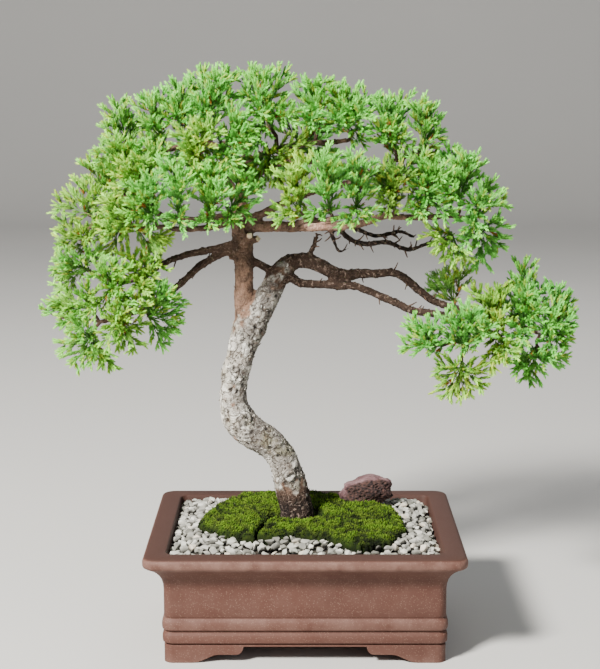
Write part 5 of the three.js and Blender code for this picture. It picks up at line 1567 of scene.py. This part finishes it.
def add_bark(bm, pool, samples):
    """Pushes the bark's forms out of the smooth wood and sets its point values."""
    layers = dict(zip(BARK_VALUES, point_values(bm, *BARK_VALUES)))
    ends = cut_ends()
    moved = []
    for vert in bm.verts:
        place = (vert.co - POT_MIDDLE) / MM
        near = pool.find_n(place, 3)
        weights = [1 / (0.5 + distance) for _, _, distance in near]
        shares = [
            sum(samples[row[1]][3][part] * weight for row, weight in zip(near, weights))
            / sum(weights)
            for part in range(3)
        ]
        pushed, values = bark_relief(place, vert.normal, samples[near[0][1]], shares)
        moved.append((vert, vert.normal * pushed * MM))
        for name, value in values.items():
            vert[layers[name]] = value
        for end, radius, out in ends:
            off = place - end
            if off.length < radius + SAWN_MARGIN and off.dot(out) > -SAWN_DEPTH:
                vert[layers["cut"]] = 1.0
    for vert, step in moved:
        vert.co += step


def add_flakes(bm, pool, samples, chance):
    """Loose plates on the pale bark, hanging strips at the foot and chips on the limbs."""
    templates = [bark_flake(sides, chance) for sides in (4, 5, 5, 6)]
    pale, dark, cut = (bm.verts.layers.float[name] for name in ("pale", "dark", "cut"))
    anchors = [
        (vert.co.copy(), vert.normal.copy(), vert[pale], vert[dark])
        for vert in bm.verts if vert[cut] < 0.5 and vert.co.z > FLAKES_FROM * MM
    ]
    for spot, normal, light, shade in chance.sample(anchors, FLAKES):
        way, radius = samples[pool.find((spot - POT_MIDDLE) / MM)[1]][1:3]
        if radius < THINNEST_FLAKED:
            continue
        kind = PALE_FLAKE if light > 0.5 else LIMB_CHIP
        if light < 0.4 and radius > FULL_RELIEF_RADIUS:
            kind = FOOT_STRIP
        lengths, widths, lift, turning = kind
        size = (chance.uniform(*lengths) * MM, chance.uniform(*widths) * MM, FLAKE_THICK * MM, 1)
        side = normal.cross(way).normalized()
        upright = Matrix((side, normal.cross(side), normal)).transposed().to_4x4()
        spin = Matrix.Rotation(chance.gauss(math.pi / 2, turning), 4, "Z")
        tilt = Matrix.Rotation(chance.gauss(lift, 0.12), 4, "Y")
        matrix = Matrix.Translation(spot - normal * 0.2 * MM) @ upright @ spin @ tilt
        stamp(bm, chance.choice(templates), matrix @ Matrix.Diagonal(size), [
            ("pale", light), ("dark", shade), ("crack_and_hollow_shade", 0.0), ("peeled", 0.0), ("cut", 0.0),
            ("tone_and_shade", chance.uniform(0.1, 1.0)),
        ])


def add_twigs(bm, chance):
    """The twigs that carry the sprays, and the dead twiglets."""
    fine = bmesh.new()
    for _, _, limb, hub, _ in SPRAYS:
        add_tube(fine, twig_path(limb, hub), TWIG_SIDES)
    add_twiglets(fine, chance)
    to_metres(fine)
    (dark,) = point_values(fine, "dark")
    for vert in fine.verts:
        vert[dark] = TWIG_DARKNESS
    twigs = mesh_of(fine, "twigs")
    bm.from_mesh(twigs)
    bpy.data.meshes.remove(twigs)


class BONSAI_OT_wood(bpy.types.Operator):
    """Trunk, limbs and twigs with flaking bark"""

    bl_idname = "bonsai.wood"
    bl_label = "Trunk and limbs"

    def execute(self, context):
        settings = context.scene.bonsai_wood
        chance = random.Random(WOOD_SEED)
        samples = []
        bm = bmesh.new()
        for name, path in {"trunk": TRUNK, **LIMBS}.items():
            points = smooth_path(path, LIMB_STEP)
            thick = max(radius for _, radius in points) > THICK_LIMB
            add_tube(bm, points, THICK_SIDES if thick else THIN_SIDES)
            for (spot, radius), way in zip(points, ways_along(points)):
                samples.append((spot, way, radius, bark_shares(name, spot)))
        to_metres(bm)
        bm = fused(bm, settings.fineness)
        pool = search_tree([spot for spot, _, _, _ in samples])
        add_bark(bm, pool, samples)
        add_flakes(bm, pool, samples, chance)
        add_twigs(bm, chance)
        finish_piece(bm, "trunk_and_limbs", bark_material(settings), ["trunk"])
        return {"FINISHED"}


# Foliage
class FoliageSettings(bpy.types.PropertyGroup):
    """Size and colours of the shoots."""

    shoot_length: bpy.props.FloatProperty(
        name="Shoot length", description="Mean length of one leafy shoot", default=0.0085,
        unit="LENGTH",
    )
    spacing: bpy.props.FloatProperty(
        name="Spacing", description="Distance between branchlets along a plume", default=0.0031,
        unit="LENGTH",
    )
    fork_spacing: bpy.props.FloatProperty(
        name="Fork spacing", description="Distance between forks along a branchlet",
        default=0.0047, unit="LENGTH",
    )
    bloom: bpy.props.FloatVectorProperty(
        name="Bloom", description="Colour of the blue-green bloom on some leaves",
        default=srgb(96, 216, 108), size=4, subtype="COLOR",
    )


# Colours of the leaves at the tips, partly pale new growth and partly painted highlight, in the
# middle, and inside, which is painted shade; and their share of bloom
HUES = {
    "blue": (srgb(142, 252, 92), srgb(56, 140, 30), srgb(12, 28, 4)),
    "yellow": (srgb(194, 250, 82), srgb(94, 154, 28), srgb(20, 36, 5)),
    "olive": (srgb(128, 184, 46), srgb(60, 108, 18), srgb(12, 26, 4)),
}
BLOOM_SHARE = {"blue": 0.45, "yellow": 0.35, "olive": 0.25}
LEAF_VALUES = ("up", "own", "outer_light")

# Blue-green leaves turn yellower between these two places along X, in metres
YELLOWER_FROM, YELLOWER_TO = -0.11, -0.17
YELLOWER_SHARE = 0.6

# Whorls of awl leaves on a shoot, in millimetres: height, leaf length and tilt
FULL_WHORLS = ((0.2, 4.0, 0.34), (2.5, 3.9, 0.29), (4.8, 3.5, 0.19))
INNER_WHORLS = ((0.8, 4.6, 0.46), (4.0, 3.9, 0.3))
WHORL_TURN = 1.05
LEAF_RADIUS = 0.62
SHOOT_LENGTH = 8.0
CORE_RADIUS, CORE_LENGTH = 0.85, 8.2
CLOSE_SPREAD, LOOSE_SPREAD = 1.0, 1.75
LOOSE_SPRAYS = ("pad_olive",)

# Plumes, in millimetres; a plume's first branchlet stands at a share of its length
BRANCH_REACH = 1.42
BRANCH_TURN = 2.4
AXIS_THICK = 1.3
BRANCHLET_THICK = 0.7
SHOOT_GIRTH = 1.08
SHORTEST_SHOOT = 2.0
INNER_SHADE = 0.45
FIRST_SHARE = 0.1
FILLING_FIRST_SHARE = 0.2
BETWEEN_SPAN = 62
BETWEEN_REACH_SHARE = 0.85
BETWEEN_FIRST_SHARE = 0.42
BETWEEN_LIGHT = 0.9
HUB_REACH = 7.5
HUB_LIGHT = 0.45


def foliage_material(hue, settings):
    """Awl leaves: pale at the tips, partly new growth and partly painted highlight, deeper and
    yellower towards the wood, and darkened with painted shade deep inside the sprays.
    """
    material, tree, place = new_material("foliage_" + hue)
    tips, middle, inner = HUES[hue]
    up, own, outer_light = (attribute(tree, name) for name in LEAF_VALUES)
    cloud = noise_mask(tree, place, 30.0, 0.4, 0.62)
    streak = noise_mask(tree, place, 900.0, 0.35, 0.7)
    # Paler towards the tips: partly new growth, partly painted highlight
    body = mixed(tree, up, middle, tips)
    if hue == "blue":
        across = add(tree, "ShaderNodeSeparateXYZ", {0: place}).outputs["X"]
        sunny = mixed(tree, up, HUES["yellow"][1], HUES["yellow"][0])
        left = spread(tree, across, YELLOWER_FROM, YELLOWER_TO, YELLOWER_SHARE)
        body = mixed(tree, left, body, sunny)
    # Painted shade deep inside the sprays
    depth = calculated(tree, "SUBTRACT", 1.0, outer_light, True)
    old = calculated(tree, "GREATER_THAN", own, 0.88)
    oldest = calculated(tree, "GREATER_THAN", own, 0.93)
    dead = times(tree, oldest, calculated(tree, "LESS_THAN", outer_light, 0.42))
    body = layered(
        tree, body,
        (times(tree, cloud, BLOOM_SHARE[hue]), tuple(settings.bloom)),
        (times(tree, streak, 0.3), srgb(226, 255, 140)),
        (times(tree, depth, 0.85), inner),
        (times(tree, old, 0.5), srgb(190, 192, 62)),
        (times(tree, dead, 0.85), srgb(150, 78, 36)),
    )
    finish_surface(tree, body, 0.62, 0.22)
    return material


def shoot_template(chance, spread_share, whorls):
    """One leafy shoot: a thin core with awl leaves in threes."""
    bm = bmesh.new()
    up, _, _ = point_values(bm, *LEAF_VALUES)
    add_spike(bm, CORE_RADIUS, 0.0, CORE_LENGTH)
    for order, (height, length, tilt) in enumerate(whorls):
        for leaf in range(3):
            roll = math.tau * leaf / 3 + order * WHORL_TURN + chance.uniform(-0.2, 0.2)
            lean = spread_share * (tilt + chance.uniform(-0.08, 0.08))
            turn = Quaternion((0, 0, 1), roll) @ Quaternion((1, 0, 0), lean)
            place = Matrix.LocRotScale(Vector((0, 0, height)), turn, None)
            add_spike(bm, LEAF_RADIUS / spread_share, 0.0, length, place)
    for vert in bm.verts:
        # How far up the shoot a point is: the pale tips are partly painted highlight
        vert[up] = clamped(vert.co.z / SHOOT_LENGTH)
    return mesh_of(bm, "shoot")


def shoot_kinds(chance, spread_share):
    """Templates of full shoots, and of inner ones with fewer leaves."""
    return {
        "full": [shoot_template(chance, spread_share, FULL_WHORLS) for _ in range(5)],
        "inner": [shoot_template(chance, spread_share, INNER_WHORLS) for _ in range(3)],
    }


def stem_template():
    """Bare stem, one unit long, with the same point values as a shoot."""
    bm = bmesh.new()
    point_values(bm, *LEAF_VALUES)
    add_spike(bm, 0.5, 0.3, 1.0)
    return mesh_of(bm, "stem")


def plume_width(share):
    """Fullness of a plume at a share of its length."""
    return 0.62 + 0.84 * share if share < 0.45 else 1.14 - 0.34 * share


def inside_box(spot):
    """A place drawn back within the box round the whole object."""
    return Vector(
        min(max(value, low + BOX_MARGIN), high - BOX_MARGIN)
        for value, low, high in zip(spot, BOX_LOW, BOX_HIGH)
    )


class Spray:
    """A spray being made: its bmesh, the shapes stamped into it and its random draws."""

    def __init__(self, shoots, stem, settings, chance):
        self.bm = bmesh.new()
        point_values(self.bm, *LEAF_VALUES)
        self.shoots = shoots
        self.stem = stem
        self.settings = settings
        self.chance = chance

    def add_stem(self, start, end, thick):
        """Bare stem between two places in metres, darkened with painted shade."""
        way = end - start
        matrix = aim(start, way, 0.0, Vector((thick * MM, thick * MM, way.length)))
        stamp(self.bm, self.stem, matrix, [("own", 0.5), ("outer_light", 0.15)])

    def add_shoot(self, start, way, length, outer_light):
        """One leafy shoot from a place in metres along a direction, with its share of painted light,
        and less leafy deep inside.
        """
        way = inside_box(start + way * length) - start
        if way.length < SHORTEST_SHOOT * MM:
            return
        girth = SHOOT_GIRTH * MM * self.chance.uniform(0.88, 1.12)
        size = Vector((girth, girth, way.length / SHOOT_LENGTH))
        matrix = aim(start, way, self.chance.uniform(0, 6), size)
        shoot = self.chance.choice(self.shoots["inner" if outer_light < INNER_SHADE else "full"])
        stamp(self.bm, shoot, matrix, [("own", self.chance.random()), ("outer_light", outer_light)])

    def add_branchlet(self, root, end, axis, side, share, light):
        """A branchlet, forked into pairs of shoots that turn up its plume's axis."""
        chance = self.chance
        finger = self.settings.shoot_length
        span = (end - root).length
        way = (end - root) / span
        self.add_stem(root, end - way * finger * 0.5, BRANCHLET_THICK)
        self.add_shoot(end - way * finger, way, finger, light * min(1.0, 0.5 + share))
        forks = max(1, round(span / self.settings.fork_spacing))
        for fork in range(forks):
            part = (fork + chance.uniform(0.2, 0.6)) / forks
            if part * span > span - finger * 0.4:
                continue
            # Painted light: shoots near the branchlet's root and the plume's hub are darker
            outer_light = light * min(1.0, 0.12 + 0.62 * part + 0.4 * share)
            for out in (side * -1, side):
                lean = way * 0.8 + axis * chance.uniform(0.4, 0.8) + out * chance.uniform(0.25, 0.5)
                lean = (lean + Vector((0, 0, 0.25))).normalized()
                length = finger * chance.uniform(0.72, 1.0)
                self.add_shoot(root + way * span * part, lean, length, outer_light)

    def add_plume(self, hub, tip, reach, first_share, light=1.0):
        """A plume: leafy branchlets all round an axis from a hub to a tip."""
        chance = self.chance
        finger = self.settings.shoot_length
        axis = tip - hub
        length = axis.length
        axis.normalize()
        fan = axis.cross(Vector((0.15, -1.0, 0.2))).normalized()
        other = axis.cross(fan).normalized()
        self.add_stem(hub, tip - axis * finger * 0.5, AXIS_THICK)
        self.add_shoot(tip - axis * finger, axis, finger, light)
        position = first_share * length
        angle = chance.uniform(0, math.tau)
        while position < 0.97 * length:
            share = position / length
            angle += BRANCH_TURN
            outward = fan * math.cos(angle) + other * math.sin(angle)
            radial = BRANCH_REACH * reach * MM * plume_width(share) * chance.uniform(0.86, 1.08)
            forward = min(radial * chance.uniform(0.95, 1.35), (1.04 - share) * length)
            root = hub + axis * position
            end = root + outward * radial + axis * forward
            self.add_branchlet(root, end, axis, outward.cross(axis), share, light)
            position += self.settings.spacing * chance.uniform(0.85, 1.15)


class BONSAI_OT_foliage(bpy.types.Operator):
    """Sprays of leafy shoots, one piece for each spray"""

    bl_idname = "bonsai.foliage"
    bl_label = "Foliage"

    def execute(self, context):
        settings = context.scene.bonsai_foliage
        chance = random.Random(SHOOT_SEED)
        close = shoot_kinds(chance, CLOSE_SPREAD)
        loose = shoot_kinds(chance, LOOSE_SPREAD)
        stem = stem_template()
        materials = {hue: foliage_material(hue, settings) for hue in HUES}
        for order, (name, hue, limb, hub, tips) in enumerate(SPRAYS):
            shoots = loose if name in LOOSE_SPRAYS else close
            spray = Spray(shoots, stem, settings, random.Random(SPRAY_SEED + order))
            start = at_mm(*hub)
            ends = [(at_mm(x, y, z), reach) for x, y, z, reach in tips]
            for end, reach in ends:
                spray.add_plume(start, end, reach, FIRST_SHARE)
            neighbours = ends[1:] if len(ends) == 2 else ends[1:] + ends[:1]
            for (end, reach), (beside, _) in zip(ends, neighbours):
                if (end - beside).length < BETWEEN_SPAN * MM:
                    between = start.lerp(end.lerp(beside, 0.5), 0.94)
                    spray.add_plume(start, between, BETWEEN_REACH_SHARE * reach,
                                    BETWEEN_FIRST_SHARE, BETWEEN_LIGHT)
            for x, y, z, reach in FILLING.get(name, ()):
                spray.add_plume(start, at_mm(x, y, z), reach, FILLING_FIRST_SHARE)
            for x, y, z, reach in BACKING.get(name, ()):
                spray.add_plume(start, at_mm(x, y, z), reach, FILLING_FIRST_SHARE, BACKING_LIGHT)
            bend = at_mm(*twig_path(limb, hub)[1][0])
            spray.add_plume(bend, start, HUB_REACH, FIRST_SHARE, HUB_LIGHT)
            finish_piece(spray.bm, "leaves_" + name, materials[hue],
                         ["spray_" + name], smooth=False)
        return {"FINISHED"}


# Stage, in metres: a floor that bends up into a wall, and the lights round the pot
FLOOR_HALF = 3.2
FLOOR_BEND = 1.4
FLOOR_STEPS = 24
WALL_HEIGHT = 3.0
LIGHT_TARGET = (0, 0, 0.26)
LIGHTS = (
    ("key", (-1.4, -1.6, 1.9), 0.5, 275, (1.0, 0.98, 0.93)),
    ("fill", (1.6, -1.4, 0.9), 1.6, 7, (0.95, 0.97, 1.0)),
    ("back", (0.4, 1.5, 1.6), 1.2, 10, (1.0, 1.0, 1.0)),
)
ROOM_COLOUR = (0.9, 0.93, 1.0, 1.0)
ROOM_LIGHT = 0.26
CAMERA_PLACE = (-4, -1252, 468.5)
SENSOR_WIDTH = 36.0
CLIP_END = 60.0


class StageSettings(bpy.types.PropertyGroup):
    """Floor and camera."""

    floor: bpy.props.FloatVectorProperty(
        name="Floor", description="Colour of the floor", default=srgb(196, 194, 190), size=4,
        subtype="COLOR",
    )
    lens: bpy.props.FloatProperty(
        name="Lens", description="Focal length of the camera", default=0.08373, unit="CAMERA"
    )
    pitch: bpy.props.FloatProperty(
        name="Pitch", description="How far the camera looks down",
        default=math.radians(9.97), subtype="ANGLE",
    )


def floor_material(settings):
    """Pale matt floor with faint clouds."""
    material, tree, place = new_material("pale_floor")
    cloud = noise_mask(tree, place, 1.5, 0.3, 0.7)
    floor = mixed(tree, cloud, tuple(settings.floor), darkened(settings.floor, 0.97))
    finish_surface(tree, floor, 0.9)
    return material


def floor_object():
    """Floor whose far edge is spun up into a wall."""
    bm = bmesh.new()
    bmesh.ops.create_grid(bm, x_segments=1, y_segments=1, size=FLOOR_HALF)
    far = [edge for edge in bm.edges if all(vert.co.y > 0 for vert in edge.verts)]
    bmesh.ops.spin(
        bm, geom=far, cent=(0, FLOOR_HALF, FLOOR_BEND), axis=(1, 0, 0), angle=math.pi / 2,
        steps=FLOOR_STEPS,
    )
    top = [edge for edge in bm.edges if all(v.co.z > FLOOR_BEND * 0.999 for v in edge.verts)]
    wall = bmesh.ops.extrude_edge_only(bm, edges=top)["geom"]
    bmesh.ops.translate(bm, verts=only(BMVert, wall), vec=(0, 0, WALL_HEIGHT))
    for face in bm.faces:
        face.smooth = True
    return loose_object(bm, "floor")


def area_light(name, place, size, power, colour):
    """Soft square light at a place from the pot's middle, aimed at the tree."""
    lamp = bpy.data.lights.new(name, "AREA")
    lamp.shape = "SQUARE"
    lamp.size = size
    lamp.energy = power
    lamp.color = colour
    spot = POT_MIDDLE + Vector(place)
    target = POT_MIDDLE + Vector(LIGHT_TARGET)
    made = bpy.data.objects.new(name, lamp)
    made.location = spot
    made.rotation_euler = (target - spot).to_track_quat("-Z", "Y").to_euler()
    bpy.context.scene.collection.objects.link(made)


class BONSAI_OT_stage(bpy.types.Operator):
    """Plain pale floor, soft studio light and the camera"""

    bl_idname = "bonsai.stage"
    bl_label = "Stage"

    def execute(self, context):
        settings = context.scene.bonsai_stage
        floor = floor_object()
        floor.data.materials.append(floor_material(settings))
        for light in LIGHTS:
            area_light(*light)
        world = bpy.data.worlds.new("soft_room")
        world.use_nodes = True
        background = world.node_tree.nodes["Background"]
        background.inputs["Color"].default_value = ROOM_COLOUR
        background.inputs["Strength"].default_value = ROOM_LIGHT
        context.scene.world = world
        lens = bpy.data.cameras.new("camera")
        lens.sensor_width = SENSOR_WIDTH
        lens.lens = settings.lens / MM
        lens.clip_end = CLIP_END
        camera = bpy.data.objects.new("camera", lens)
        camera.location = at_mm(*CAMERA_PLACE)
        camera.rotation_euler = (math.pi / 2 - settings.pitch, 0, 0)
        context.scene.collection.objects.link(camera)
        context.scene.camera = camera
        return {"FINISHED"}


class BONSAI_PT_panel(bpy.types.Panel):
    """Lists the bonsai's pieces in the 3D view's sidebar"""

    bl_idname = "BONSAI_PT_panel"
    bl_label = "Bonsai"
    bl_space_type = "VIEW_3D"
    bl_region_type = "UI"
    bl_category = "Bonsai"

    def draw(self, context):
        layout = self.layout
        for operator in OPERATORS:
            layout.operator(operator.bl_idname)
        for group in SETTINGS:
            settings = getattr(context.scene, group)
            for name in settings.bl_rna.properties.keys():
                if name not in ("rna_type", "name"):
                    layout.prop(settings, name)


SETTINGS = {
    "bonsai_pot": PotSettings,
    "bonsai_ground": GroundSettings,
    "bonsai_wood": WoodSettings,
    "bonsai_foliage": FoliageSettings,
    "bonsai_stage": StageSettings,
}
OPERATORS = (BONSAI_OT_stage, BONSAI_OT_pot, BONSAI_OT_soil, BONSAI_OT_gravel, BONSAI_OT_moss,
             BONSAI_OT_rock, BONSAI_OT_wood, BONSAI_OT_foliage)
CLASSES = (*SETTINGS.values(), *OPERATORS, BONSAI_PT_panel)


def register():
    """Makes the settings, operators and panel known."""
    for kind in CLASSES:
        bpy.utils.register_class(kind)
    for name, group in SETTINGS.items():
        setattr(bpy.types.Scene, name, bpy.props.PointerProperty(type=group))


def unregister():
    """Takes the settings, operators and panel out again."""
    for name in SETTINGS:
        delattr(bpy.types.Scene, name)
    for kind in reversed(CLASSES):
        bpy.utils.unregister_class(kind)


def main():
    """Builds the stage and every piece."""
    register()
    for operator in OPERATORS:
        step = operator.bl_idname.split(".")[1]
        getattr(bpy.ops.bonsai, step)()


if __name__ == "__main__":
    main()
